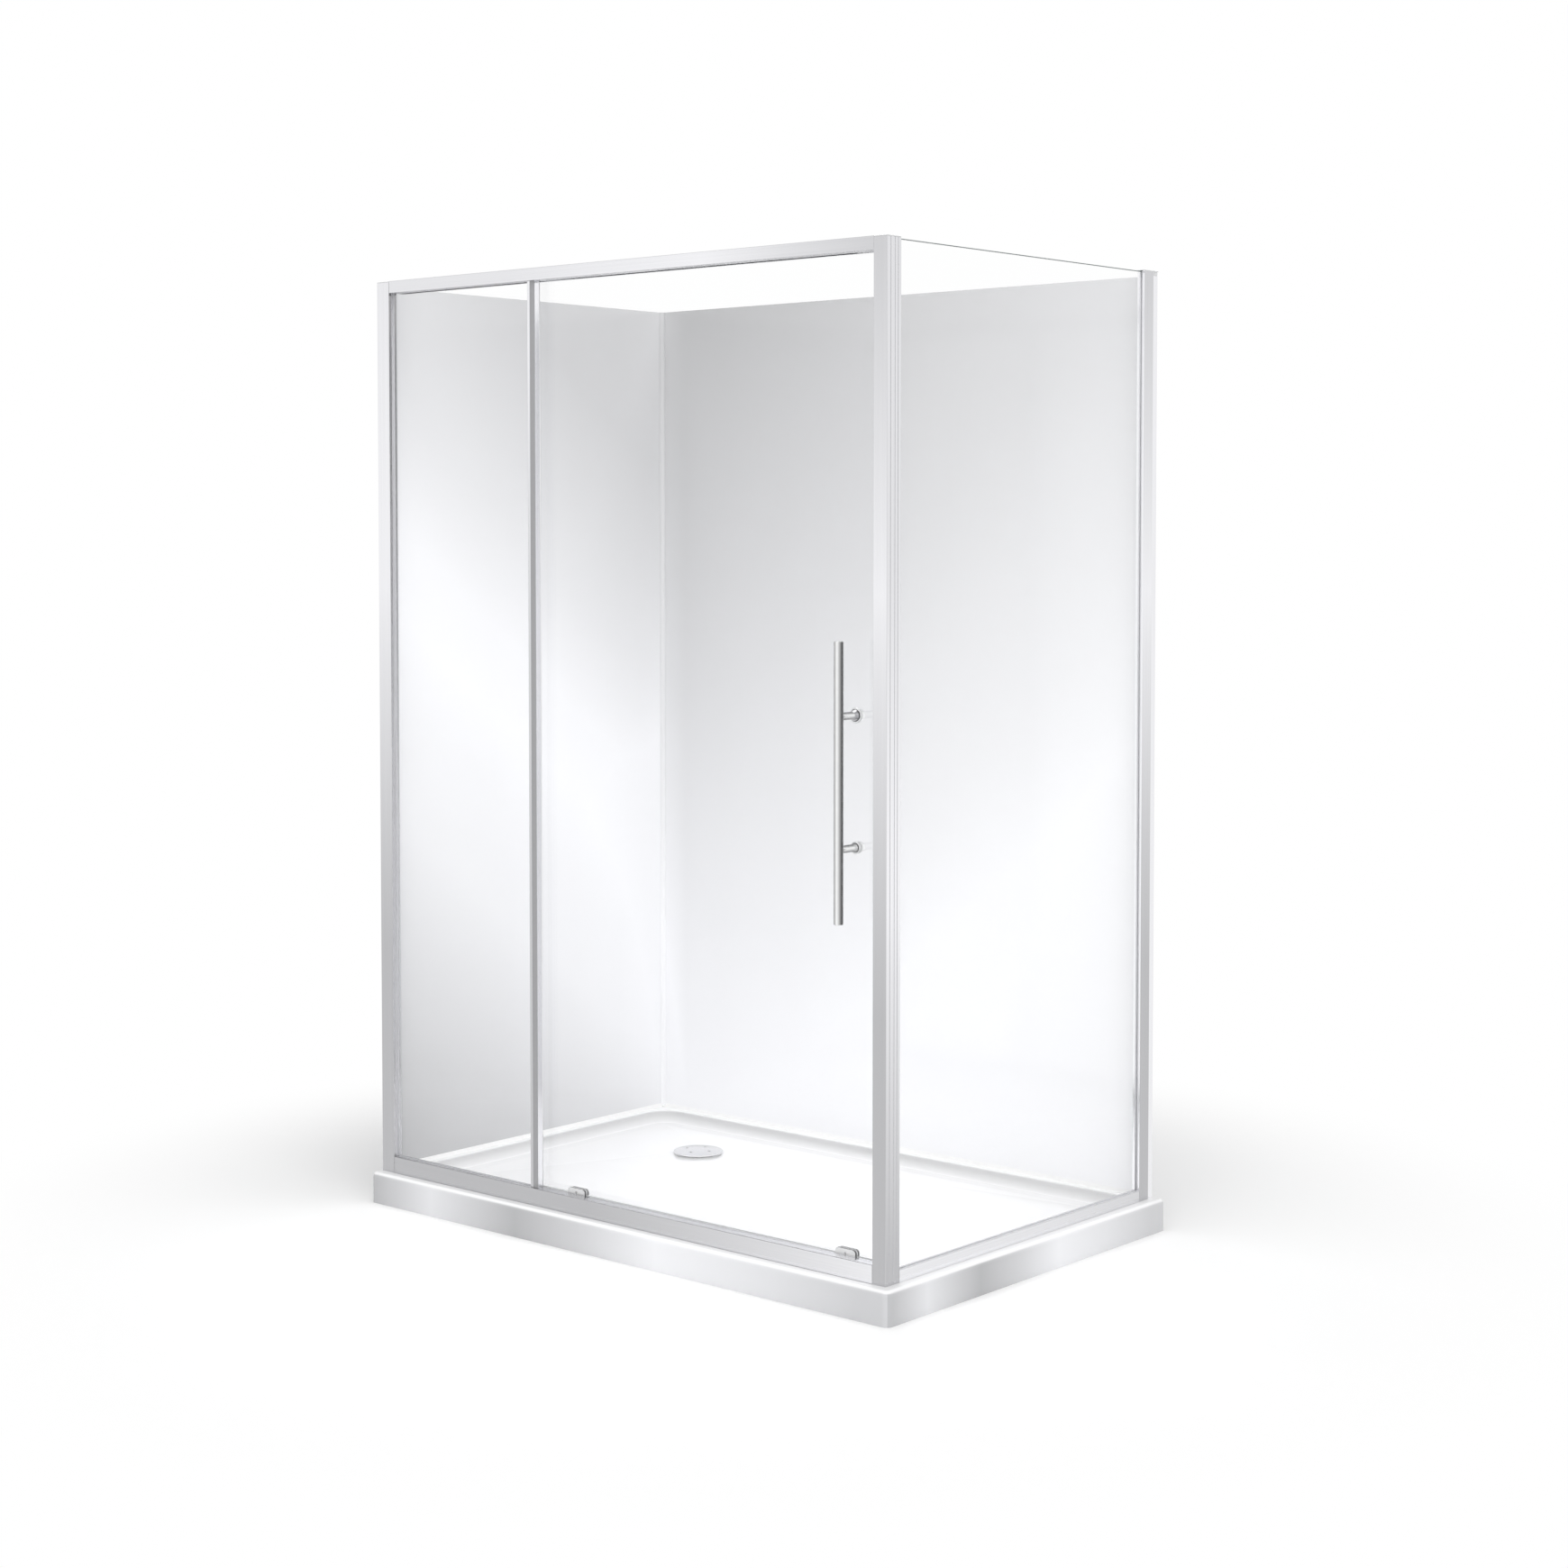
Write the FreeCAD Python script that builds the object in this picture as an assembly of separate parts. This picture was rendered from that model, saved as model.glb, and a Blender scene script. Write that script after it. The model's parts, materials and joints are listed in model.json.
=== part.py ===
import FreeCAD, Part
import math
import os

# Corner shower enclosure with a sliding door: a low acrylic tray against two walls,
# a framed front with one fixed and one sliding pane, a framed side pane and two wall
# liners. Millimetres. +Z is up, +X runs along the front towards the corner post and
# +Y runs back to the rear wall. The origin is the centre of the tray's underside, on
# the floor; the left wall is the tray's -X side and the rear wall its +Y side.

# Tray
TRAY_LENGTH = 1400.0            # along the sliding front
TRAY_DEPTH = 900.0              # front to rear wall
TRAY_HEIGHT = 65.0              # floor to ledge
TRAY_SKIN = 5.0                 # acrylic with its laminate
TRAY_EDGE_RADIUS = 10.0         # rounded top edge of the two free sides
TRAY_CORNER_RADIUS = 14.0       # free corner, seen from above
UPSTAND_THICKNESS = 3.0         # tiling upstand along both walls
UPSTAND_HEIGHT = 18.0
LEDGE_AT_WALLS = 26.0           # wall to basin
LEDGE_AT_FRONT = 98.0           # tray edge to basin
LEDGE_AT_SIDE = 60.0
BASIN_DEPTH = 25.0
BASIN_CORNER_RADIUS = 60.0
BASIN_COVE_RADIUS = 18.0
BASIN_RIM_RADIUS = 4.0
FLOOR_FALL = 5.0                # fall of the basin floor to the waste
FALL_MARGIN = 45.0              # level strip round the falls
WASTE_PAN = 124.0               # level square round the waste
WASTE_FROM_LEFT = 315.0
WASTE_FROM_BACK = 220.0
BEARER_WIDTH = 60.0
BEARER_END_GAP = 30.0
BEARER_FROM_WALL = 110.0        # wall to the first bearer's middle
BEARER_FROM_WASTE = 99.0        # waste's flange to the second bearer's side
BEARER_FROM_SIDE = 180.0        # free side of the tray to the last bearer's middle

# Waste
WASTE_HOLE_RADIUS = 45.0
WASTE_TUBE_RADIUS = 42.0
WASTE_TUBE_WALL = 2.5
WASTE_RIM_RADIUS = 51.0
WASTE_RIM_THICKNESS = 1.5
WASTE_GASKET_THICKNESS = 2.0
WASTE_CUP_RADIUS = 50.0
WASTE_CUP_FLANGE_RADIUS = 56.0
WASTE_CUP_FLANGE_THICKNESS = 3.0
WASTE_CUP_WALL = 3.0
OUTLET_RADIUS = 20.0            # bore of the outlet spigot
OUTLET_WALL = 3.0
OUTLET_LENGTH = 6.0             # spigot below the cup
WASTE_THREAD_END_GAP = 4.0      # tube's lower end to the cup's floor
COVER_RADIUS = 55.0
COVER_THICKNESS = 2.0
COVER_CROWN = 3.0               # rise of the domed top
COVER_EDGE_HEIGHT = 2.4
COVER_WATER_GAP = 2.2           # gap under the cover's edge
COVER_FOOT_RADIUS = 3.0
COVER_FOOT_CIRCLE = 46.0
COVER_FEET = 4
COVER_HOLE_RADIUS = 3.0
COVER_HOLE_CIRCLE = 29.0
COVER_HOLES = 4
COVER_SEAT_CLEARANCE = 0.3

# Wall liners
LINER_THICKNESS = 3.5
LINER_BOTTOM_GAP = 3.0          # sealed gap above the ledge
LINER_TOP_DROP = 9.0            # below the top of the frame
LINER_POST_GAP = 1.0            # left post to the left liner
TAPE_WIDTH = 25.0
TAPE_END_GAP = 60.0
LEFT_TAPES = 4
BACK_TAPES = 6
SEALANT_BEAD = 5.0
SEALANT_TOE = 1.2
TRIM_WIDTH = 9.0

# Frame extrusions
FRAME_SETBACK = 25.0            # tray edge to frame face
FRAME_HEIGHT = 1885.0           # ledge to top
EXTRUSION_WALL = 1.6
FRONT_BOX_DEPTH = 24.0          # left post, sill box and header box
LEFT_POST_WIDTH = 39.0
WALL_CHANNEL_REACH = 19.0       # wall to the tip of the left channel's flanges
RIGHT_CHANNEL_REACH = 27.0      # wall to the tip of the right channel's flanges
WALL_CHANNEL_WALL = 2.0
CHANNEL_CLEARANCE = 0.2         # wall channel in its post
POST_WALL_GAP = 2.0             # wall to the left post
CAP_THICKNESS = 2.0
CAP_PLUG_DEPTH = 8.0
CAP_PLUG_CLEARANCE = 0.2
HEADER_HEIGHT = 25.0
SILL_HEIGHT = 35.0
SILL_SHELF_DEPTH = 32.0         # from the sill box back over the ledge
SILL_SHELF_THICKNESS = 2.0
SILL_LIP_HEIGHT = 12.0
TRACK_RIB_WIDTH = 3.0
TRACK_RIB_HEIGHT = 8.0
FILLER_THICKNESS = 2.0
CORNER_POST_WIDTH = 31.0
CORNER_POST_DEPTH = 40.0
POST_GROOVE_WIDTH = 1.2
POST_GROOVE_DEPTH = 0.8
POST_GROOVES = (10.4, 31.4)     # from the frame's face
POST_RECESS = (19.3, 23.5)
RIGHT_POST_WIDTH = 20.0
RIGHT_POST_REACH = 51.5         # wall to the post's front
RIGHT_POST_DEPTH = 34.0
RIGHT_POST_STEP = 18.5          # from the post's front to the step in its face
RIGHT_STEP_DEPTH = 1.0
SIDE_CHANNEL_WIDTH = 18.0
SIDE_CHANNEL_HEIGHT = 23.0
WALL_HOLE_RADIUS = 2.75
WALL_HOLE_SPACING = 560.0       # four holes up each wall channel
POST_SCREW_RADIUS = 2.0
POST_SCREW_HEAD_RADIUS = 4.0
POST_SCREW_HEAD = 2.2
POST_SCREW_SPACING = 760.0      # three screws up each wall post
POST_SCREWS = 3
POST_SCREW_EDGE = 6.0           # screw to the edge of the channel or post

# Panes
GLASS = 6.0
GASKET = 2.6                    # each side of the fixed front pane
GLASS_BITE = 12.0               # pane inside a post
POCKET_DEPTH = 14.0             # glazing pocket of a post
GASKET_DEPTH = 8.0
SETTING_BLOCK_HEIGHT = 6.0
SETTING_BLOCK_LENGTH = 60.0
HEADER_TOP_GAP = 5.0            # fixed pane to the header's inside
SIDE_GLASS_DROP = 3.0           # below the top of the frame

# Mullion on the free edge of the fixed pane
MULLION_FROM_LEFT = 412.0       # left post's inner face to the mullion's left side
MULLION_WIDTH = 20.0
MULLION_DEPTH = 14.0
MULLION_BITE = 9.0
MULLION_GLASS_CLEARANCE = 0.3
MULLION_INSERT_WIDTH = 12.5
MULLION_INSERT_DEPTH = 1.2
MULLION_INSERT_DROP = 0.4
FIN_BASE_WIDTH = 7.0
FIN_BASE_DEPTH = 1.5
FIN_THICKNESS = 1.6
FIN_FOOT_GAP = 1.5              # passing carriage to the fin's foot
SEAL_CLEARANCE = 0.3            # flexible seal to what slides past it

# Sliding door
DOOR_OVERLAP = 5.0              # pane past the mullion's left side
DOOR_BOTTOM_GAP = 29.0          # ledge to pane
DOOR_TOP_IN_HEADER = 6.0
DOOR_END_GAP = 12.0             # open door to the left post
MAGNET_STRIP_THICKNESS = 4.0
MAGNET_STRIP_WIDTH = 10.0
MAGNET_GAP = 0.5
LEADING_SEAL_WIDTH = 14.0       # along the pane
LEADING_SEAL_THICKNESS = 9.0
LEADING_SEAL_BITE = 7.0
TRAILING_PROFILE_WIDTH = 12.0
TRAILING_PROFILE_WALL = 1.5
BOTTOM_SEAL_WALL = 1.4
BOTTOM_SEAL_BITE = 5.0
BOTTOM_SEAL_FIN = 9.0
BOTTOM_SEAL_END_GAP = 1.0

# Roller carriages under the door
CARRIAGE_WIDTH = 48.0
CARRIAGE_THICKNESS = 15.0
CARRIAGE_GAP = 2.0              # carriage to the sill box
CARRIAGE_RISE = 10.0            # top above the sill
CARRIAGE_BOTTOM_GAP = 4.0       # above the track rib
CARRIAGE_CORNER_RADIUS = 7.0
LEFT_CARRIAGE_INSET = 114.0     # door's opening edge to the carriage's middle
RIGHT_CARRIAGE_INSET = 73.5     # door's closing edge to the carriage's middle
WHEEL_TREAD_RADIUS = 7.5
WHEEL_FLANGE_RADIUS = 9.0
WHEEL_WIDTH = 7.0
WHEEL_HALF_SPACING = 11.0
WHEEL_POCKET_CLEARANCE = 0.8
TREAD_GAP = 0.05                # wheel tread to the rib
TREAD_SIDE_CLEARANCE = 0.5
AXLE_RADIUS = 2.0
RUNNING_CLEARANCE = 0.05
AXLE_HEAD_RADIUS = 3.4
AXLE_HEAD = 1.0
CARRIAGE_SCREW_RADIUS = 2.5
CARRIAGE_SCREW_HEAD_RADIUS = 4.5
CARRIAGE_SCREW_HEAD = 2.0
CARRIAGE_SCREW_DROP = 8.0       # below the carriage's top

# Guides at the top of the door
GUIDE_WIDTH = 40.0
GUIDE_WALL = 2.5
GUIDE_LEG = 5.0
GUIDE_END_DISTANCE = 34.0       # door's edge to the guide's middle
GUIDE_WHEEL_HEIGHT = 7.0
GUIDE_WHEEL_LIFT = 1.6          # guide to wheel
GUIDE_PIN_RADIUS = 2.0
GUIDE_PIN_HEAD_RADIUS = 3.6
GUIDE_PIN_HEAD = 1.4
GUIDE_SIDE_CLEARANCE = 0.3      # wheel to the header's channel
STOP_GAP = 0.5
STOP_BOTTOM_GAP = 0.3

# Handle
HANDLE_INSET = 51.5             # door's closing edge to the bar
HANDLE_BAR_RADIUS = 9.0
HANDLE_BAR_LENGTH = 514.0
HANDLE_CENTRE_HEIGHT = 906.0    # above the ledge
HANDLE_END_RADIUS = 3.0
STANDOFF_SPACING = 241.0
STANDOFF_RADIUS = 7.0
HANDLE_REACH = 51.0             # pane to the middle of the bar
UPPER_ROSETTE_RADIUS = 14.5
LOWER_ROSETTE_RADIUS = 11.5
ROSETTE_THICKNESS = 4.0
HANDLE_WASHER_THICKNESS = 1.0
INSIDE_CAP_RADIUS = 11.0
INSIDE_CAP_THICKNESS = 7.0
HANDLE_SCREW_RADIUS = 3.0
HANDLE_SCREW_HEAD_RADIUS = 5.0
HANDLE_SCREW_HEAD = 4.0
HANDLE_THREAD = 16.0            # screw inside the standoff
GLASS_HOLE_CLEARANCE = 2.0

# Planes and edges that follow from the sizes above
wall_x = -TRAY_LENGTH / 2
tray_side_x = TRAY_LENGTH / 2
tray_front_y = -TRAY_DEPTH / 2
wall_y = TRAY_DEPTH / 2
ledge = TRAY_HEIGHT
frame_front = tray_front_y + FRAME_SETBACK
frame_side = tray_side_x - FRAME_SETBACK
frame_top = ledge + FRAME_HEIGHT
post_top = frame_top - CAP_THICKNESS
box_rear = frame_front + FRONT_BOX_DEPTH
fixed_plane = frame_front + FRONT_BOX_DEPTH / 2
door_plane = box_rear + CARRIAGE_GAP + CARRIAGE_THICKNESS / 2
side_plane = frame_side - SIDE_CHANNEL_WIDTH / 2
left_post_inner = wall_x + LEFT_POST_WIDTH
corner_post_inner = frame_side - CORNER_POST_WIDTH
corner_post_rear = frame_front + CORNER_POST_DEPTH
right_post_front = wall_y - RIGHT_POST_REACH
right_post_rear = right_post_front + RIGHT_POST_DEPTH
sill_top = ledge + SILL_HEIGHT
sill_rear = box_rear + SILL_SHELF_DEPTH
header_bottom = frame_top - HEADER_HEIGHT
rib_top = ledge + TRACK_RIB_HEIGHT
pocket_half = GLASS / 2 + GASKET
guide_channel_half = door_plane - box_rear
mullion_left = left_post_inner + MULLION_FROM_LEFT
mullion_right = mullion_left + MULLION_WIDTH
liner_face_x = wall_x + UPSTAND_THICKNESS + LINER_THICKNESS
liner_face_y = wall_y - UPSTAND_THICKNESS - LINER_THICKNESS
liner_bottom = ledge + LINER_BOTTOM_GAP
left_liner_front = box_rear + LINER_POST_GAP
back_liner_end = frame_side - RIGHT_POST_WIDTH
liner_top = frame_top - LINER_TOP_DROP
waste_x = wall_x + WASTE_FROM_LEFT
waste_y = wall_y - WASTE_FROM_BACK
basin_floor = ledge - BASIN_DEPTH
waste_floor = basin_floor - FLOOR_FALL
last_bearer_x = tray_side_x - BEARER_FROM_SIDE
bearer_places = (
    wall_x + BEARER_FROM_WALL,
    waste_x + WASTE_CUP_FLANGE_RADIUS + BEARER_FROM_WASTE + BEARER_WIDTH / 2,
    0.0,
    last_bearer_x / 2,
    last_bearer_x,
)
door_left = mullion_left - DOOR_OVERLAP
door_seal_tip = corner_post_inner - MAGNET_STRIP_THICKNESS - MAGNET_GAP
door_right = door_seal_tip - LEADING_SEAL_WIDTH + LEADING_SEAL_BITE
door_bottom = ledge + DOOR_BOTTOM_GAP
door_top = header_bottom + DOOR_TOP_IN_HEADER
door_end = door_left - TRAILING_PROFILE_WALL
door_travel = door_end - left_post_inner - DOOR_END_GAP
wheel_axis_z = rib_top + TREAD_GAP + WHEEL_TREAD_RADIUS
carriage_bottom = rib_top + CARRIAGE_BOTTOM_GAP
carriage_top = sill_top + CARRIAGE_RISE
carriage_screw_z = carriage_top - CARRIAGE_SCREW_DROP
carriage_places = (door_left + LEFT_CARRIAGE_INSET, door_right - RIGHT_CARRIAGE_INSET)
guide_places = (door_left + GUIDE_END_DISTANCE, door_right - GUIDE_END_DISTANCE)
guide_top = door_top + GUIDE_WALL
guide_wheel_bottom = guide_top + GUIDE_WHEEL_LIFT
guide_wheel_top = guide_wheel_bottom + GUIDE_WHEEL_HEIGHT
handle_x = door_right - HANDLE_INSET
handle_z = ledge + HANDLE_CENTRE_HEIGHT
door_front_face = door_plane - GLASS / 2
door_back_face = door_plane + GLASS / 2
bar_y = door_front_face - HANDLE_REACH
standoff_heights = (handle_z - STANDOFF_SPACING / 2, handle_z + STANDOFF_SPACING / 2)
rosette_radii = (LOWER_ROSETTE_RADIUS, UPPER_ROSETTE_RADIUS)
left_screw_x = wall_x + WALL_CHANNEL_REACH - POST_SCREW_EDGE
right_screw_y = right_post_rear - POST_SCREW_EDGE
post_screw_heights = [
    (ledge + frame_top) / 2 + (i - (POST_SCREWS - 1) / 2) * POST_SCREW_SPACING
    for i in range(POST_SCREWS)
]
wall_hole_heights = [(ledge + frame_top) / 2 + step * WALL_HOLE_SPACING for step in (-1.5, -0.5, 0.5, 1.5)]

OVERCUT = 1.0                   # how far a cutting solid passes the face it cuts
ALONG_X = FreeCAD.Vector(1, 0, 0)
ALONG_Y = FreeCAD.Vector(0, 1, 0)
ALONG_Z = FreeCAD.Vector(0, 0, 1)


def box(x0, x1, y0, y1, z0, z1):
    return Part.makeBox(x1 - x0, y1 - y0, z1 - z0, FreeCAD.Vector(x0, y0, z0))


def rod(radius, length, x, y, z, axis):
    return Part.makeCylinder(radius, length, FreeCAD.Vector(x, y, z), axis)


def tube(outer_radius, inner_radius, length, x, y, z, axis):
    bore_start = FreeCAD.Vector(x, y, z) - axis * OVERCUT
    bore = Part.makeCylinder(inner_radius, length + 2 * OVERCUT, bore_start, axis)
    return rod(outer_radius, length, x, y, z, axis).cut(bore)


def joined(solids):
    return solids[0].fuse(solids[1:]).removeSplitter()


def rectangle(x0, x1, y0, y1, z):
    corners = [(x0, y0), (x1, y0), (x1, y1), (x0, y1), (x0, y0)]
    return Part.makePolygon([FreeCAD.Vector(x, y, z) for x, y in corners])


def edges_along_z(shape):
    return [edge for edge in shape.Edges if edge.BoundBox.XLength < 1e-3 and edge.BoundBox.YLength < 1e-3]


def edges_at_height(shape, z):
    return [e for e in shape.Edges if abs(e.BoundBox.ZMin - z) < 1e-3 and abs(e.BoundBox.ZMax - z) < 1e-3]


def save(node, solids):
    Part.makeCompound(solids).exportStep(f"parts/{node}.step")


# Tray

def basin(grown):
    """The basin's hollow with rounded corners, a coved foot and a floor that falls to
    the waste. Grown by the skin, it is the hollow's outside."""
    left = wall_x + LEDGE_AT_WALLS
    right = tray_side_x - LEDGE_AT_SIDE
    front = tray_front_y + LEDGE_AT_FRONT
    back = wall_y - LEDGE_AT_WALLS
    floor = basin_floor - grown
    hollow = box(left - grown, right + grown, front - grown, back + grown, floor, ledge + OVERCUT)
    hollow = hollow.makeFillet(BASIN_CORNER_RADIUS + grown, edges_along_z(hollow))
    hollow = hollow.makeFillet(BASIN_COVE_RADIUS + grown, edges_at_height(hollow, floor))
    pan = WASTE_PAN / 2
    rim = rectangle(left + FALL_MARGIN, right - FALL_MARGIN, front + FALL_MARGIN, back - FALL_MARGIN, floor)
    foot = rectangle(waste_x - pan, waste_x + pan, waste_y - pan, waste_y + pan, waste_floor - grown)
    return hollow.fuse(Part.makeLoft([foot, rim], True, True))


def shower_tray():
    tray = box(wall_x, tray_side_x, tray_front_y, wall_y, 0, ledge)
    free_corner = [
        edge for edge in edges_along_z(tray)
        if edge.BoundBox.XMin > tray_side_x - 1 and edge.BoundBox.YMin < tray_front_y + 1
    ]
    tray = tray.makeFillet(TRAY_CORNER_RADIUS, free_corner)
    free_edges = [
        edge for edge in edges_at_height(tray, ledge)
        if edge.BoundBox.YMax < wall_y - 1 or edge.BoundBox.XMin > tray_side_x - 1
    ]
    tray = tray.makeFillet(TRAY_EDGE_RADIUS, free_edges)
    upstands = [
        box(wall_x, wall_x + UPSTAND_THICKNESS, left_liner_front, wall_y, ledge - OVERCUT,
            ledge + UPSTAND_HEIGHT),
        box(wall_x, back_liner_end, wall_y - UPSTAND_THICKNESS, wall_y, ledge - OVERCUT,
            ledge + UPSTAND_HEIGHT),
    ]
    underside = box(wall_x + TRAY_SKIN, tray_side_x - TRAY_SKIN, tray_front_y + TRAY_SKIN,
                    wall_y - TRAY_SKIN, -OVERCUT, ledge - TRAY_SKIN).cut(basin(TRAY_SKIN))
    tray = tray.fuse(upstands).cut(basin(0)).cut(underside).removeSplitter()
    basin_rim = [
        edge for edge in edges_at_height(tray, ledge)
        if edge.BoundBox.XMin > wall_x + LEDGE_AT_WALLS - 1
        and edge.BoundBox.XMax < tray_side_x - LEDGE_AT_SIDE + 1
        and edge.BoundBox.YMin > tray_front_y + LEDGE_AT_FRONT - 1
        and edge.BoundBox.YMax < wall_y - LEDGE_AT_WALLS + 1
    ]
    tray = tray.makeFillet(BASIN_RIM_RADIUS, basin_rim)
    waste_hole = rod(WASTE_HOLE_RADIUS, TRAY_HEIGHT, waste_x, waste_y, 0, ALONG_Z)
    return tray.cut(waste_hole)


def tray_bearers():
    """Timber battens bonded under the basin floor, shaped to its falls."""
    front = tray_front_y + LEDGE_AT_FRONT + BASIN_CORNER_RADIUS / 2 + BEARER_END_GAP
    back = wall_y - LEDGE_AT_WALLS - BASIN_CORNER_RADIUS / 2 - BEARER_END_GAP
    basin_outside = basin(TRAY_SKIN)
    return [
        box(x - BEARER_WIDTH / 2, x + BEARER_WIDTH / 2, front, back, 0, basin_floor).cut(basin_outside)
        for x in bearer_places
    ]


# Waste

def waste_levels():
    underside = waste_floor - TRAY_SKIN
    gasket_bottom = underside - WASTE_GASKET_THICKNESS
    flange_bottom = gasket_bottom - WASTE_CUP_FLANGE_THICKNESS
    return underside, gasket_bottom, flange_bottom


def waste_gasket():
    underside, gasket_bottom, _ = waste_levels()
    return tube(WASTE_CUP_FLANGE_RADIUS, WASTE_TUBE_RADIUS, underside - gasket_bottom,
                waste_x, waste_y, gasket_bottom, ALONG_Z)


def waste_cup():
    """Cup that screws up to the waste's rim from below, with a spigot for the drain."""
    _, gasket_bottom, flange_bottom = waste_levels()
    flange = rod(WASTE_CUP_FLANGE_RADIUS, gasket_bottom - flange_bottom, waste_x, waste_y,
                 flange_bottom, ALONG_Z)
    cup = rod(WASTE_CUP_RADIUS, gasket_bottom - OUTLET_LENGTH, waste_x, waste_y, OUTLET_LENGTH, ALONG_Z)
    spigot = rod(OUTLET_RADIUS + OUTLET_WALL, OUTLET_LENGTH + OVERCUT, waste_x, waste_y, 0, ALONG_Z)
    inside_floor = OUTLET_LENGTH + WASTE_CUP_WALL
    inside = rod(WASTE_TUBE_RADIUS, gasket_bottom, waste_x, waste_y, inside_floor, ALONG_Z)
    outlet = rod(OUTLET_RADIUS, gasket_bottom, waste_x, waste_y, -OVERCUT, ALONG_Z)
    return joined([flange, cup, spigot]).cut(inside).cut(outlet)


def waste_rim():
    """Threaded tube with a flat rim that clamps the tray floor from above."""
    rim = rod(WASTE_RIM_RADIUS, WASTE_RIM_THICKNESS, waste_x, waste_y, waste_floor, ALONG_Z)
    tube_bottom = OUTLET_LENGTH + WASTE_CUP_WALL + WASTE_THREAD_END_GAP
    sleeve = rod(WASTE_TUBE_RADIUS, waste_floor + WASTE_RIM_THICKNESS - tube_bottom,
                 waste_x, waste_y, tube_bottom, ALONG_Z)
    bore = rod(WASTE_TUBE_RADIUS - WASTE_TUBE_WALL, TRAY_HEIGHT, waste_x, waste_y, 0, ALONG_Z)
    return joined([rim, sleeve]).cut(bore)


def waste_cover():
    """Domed lift-off cover on four feet, with four drain holes."""
    seat = waste_floor + WASTE_RIM_THICKNESS + COVER_SEAT_CLEARANCE
    edge_bottom = seat + COVER_WATER_GAP
    edge_top = edge_bottom + COVER_EDGE_HEIGHT
    crown = edge_top + COVER_CROWN
    dome_radius = (COVER_RADIUS ** 2 + COVER_CROWN ** 2) / (2 * COVER_CROWN)
    dome_centre = FreeCAD.Vector(waste_x, waste_y, crown - dome_radius)
    disc = rod(COVER_RADIUS, crown + OVERCUT - edge_bottom, waste_x, waste_y, edge_bottom, ALONG_Z)
    hollow = rod(COVER_RADIUS - COVER_THICKNESS, crown, waste_x, waste_y, 0, ALONG_Z)
    shell = disc.common(Part.makeSphere(dome_radius, dome_centre))
    shell = shell.cut(hollow.common(Part.makeSphere(dome_radius - COVER_THICKNESS, dome_centre)))
    feet = []
    holes = []
    for i in range(COVER_FEET):
        angle = math.radians(45 + 360 / COVER_FEET * i)
        x = waste_x + COVER_FOOT_CIRCLE * math.cos(angle)
        y = waste_y + COVER_FOOT_CIRCLE * math.sin(angle)
        feet.append(rod(COVER_FOOT_RADIUS, edge_top - seat, x, y, seat, ALONG_Z))
    for i in range(COVER_HOLES):
        angle = math.radians(10 + 360 / COVER_HOLES * i)
        x = waste_x + COVER_HOLE_CIRCLE * math.cos(angle)
        y = waste_y + COVER_HOLE_CIRCLE * math.sin(angle)
        holes.append(rod(COVER_HOLE_RADIUS, TRAY_HEIGHT, x, y, seat, ALONG_Z))
    return joined([shell] + feet).cut(Part.makeCompound(holes))


# Wall liners

def left_liner():
    return box(wall_x + UPSTAND_THICKNESS, liner_face_x, left_liner_front, liner_face_y,
               liner_bottom, liner_top)


def back_liner():
    return box(wall_x + UPSTAND_THICKNESS, back_liner_end, liner_face_y, wall_y - UPSTAND_THICKNESS,
               liner_bottom, liner_top)


def liner_corner_trim():
    """Slim angle bead in the corner between the liners."""
    outer = box(liner_face_x, liner_face_x + TRIM_WIDTH, liner_face_y - TRIM_WIDTH, liner_face_y,
                liner_bottom, liner_top)
    hollow = rod(TRIM_WIDTH - EXTRUSION_WALL, FRAME_HEIGHT, liner_face_x + TRIM_WIDTH,
                 liner_face_y - TRIM_WIDTH, liner_bottom - OVERCUT, ALONG_Z)
    return outer.cut(hollow)


def liner_tape():
    """Upright strips of foam mounting tape between the liners and the walls."""
    low = ledge + UPSTAND_HEIGHT
    strips = []
    left_span = liner_face_y - left_liner_front - 2 * TAPE_END_GAP - TAPE_WIDTH
    for i in range(LEFT_TAPES):
        y = left_liner_front + TAPE_END_GAP + left_span * i / (LEFT_TAPES - 1)
        strips.append(box(wall_x, wall_x + UPSTAND_THICKNESS, y, y + TAPE_WIDTH, low, liner_top))
    back_span = back_liner_end - wall_x - 2 * TAPE_END_GAP - TAPE_WIDTH
    for i in range(BACK_TAPES):
        x = wall_x + TAPE_END_GAP + back_span * i / (BACK_TAPES - 1)
        strips.append(box(x, x + TAPE_WIDTH, wall_y - UPSTAND_THICKNESS, wall_y, low, liner_top))
    return strips


def bead_outline(out, along_wall):
    """Section of the silicone under a liner and in front of its foot; out is the
    distance from the wall's upstand, along_wall turns the pair into x and y."""
    face = LINER_THICKNESS
    section = [
        (0, ledge), (face + SEALANT_BEAD, ledge), (face + SEALANT_BEAD, ledge + SEALANT_TOE),
        (face + SEALANT_TOE, liner_bottom + SEALANT_BEAD), (face, liner_bottom + SEALANT_BEAD),
        (face, liner_bottom), (0, liner_bottom), (0, ledge),
    ]
    return Part.Face(Part.makePolygon([along_wall(out(away), z) for away, z in section]))


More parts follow.
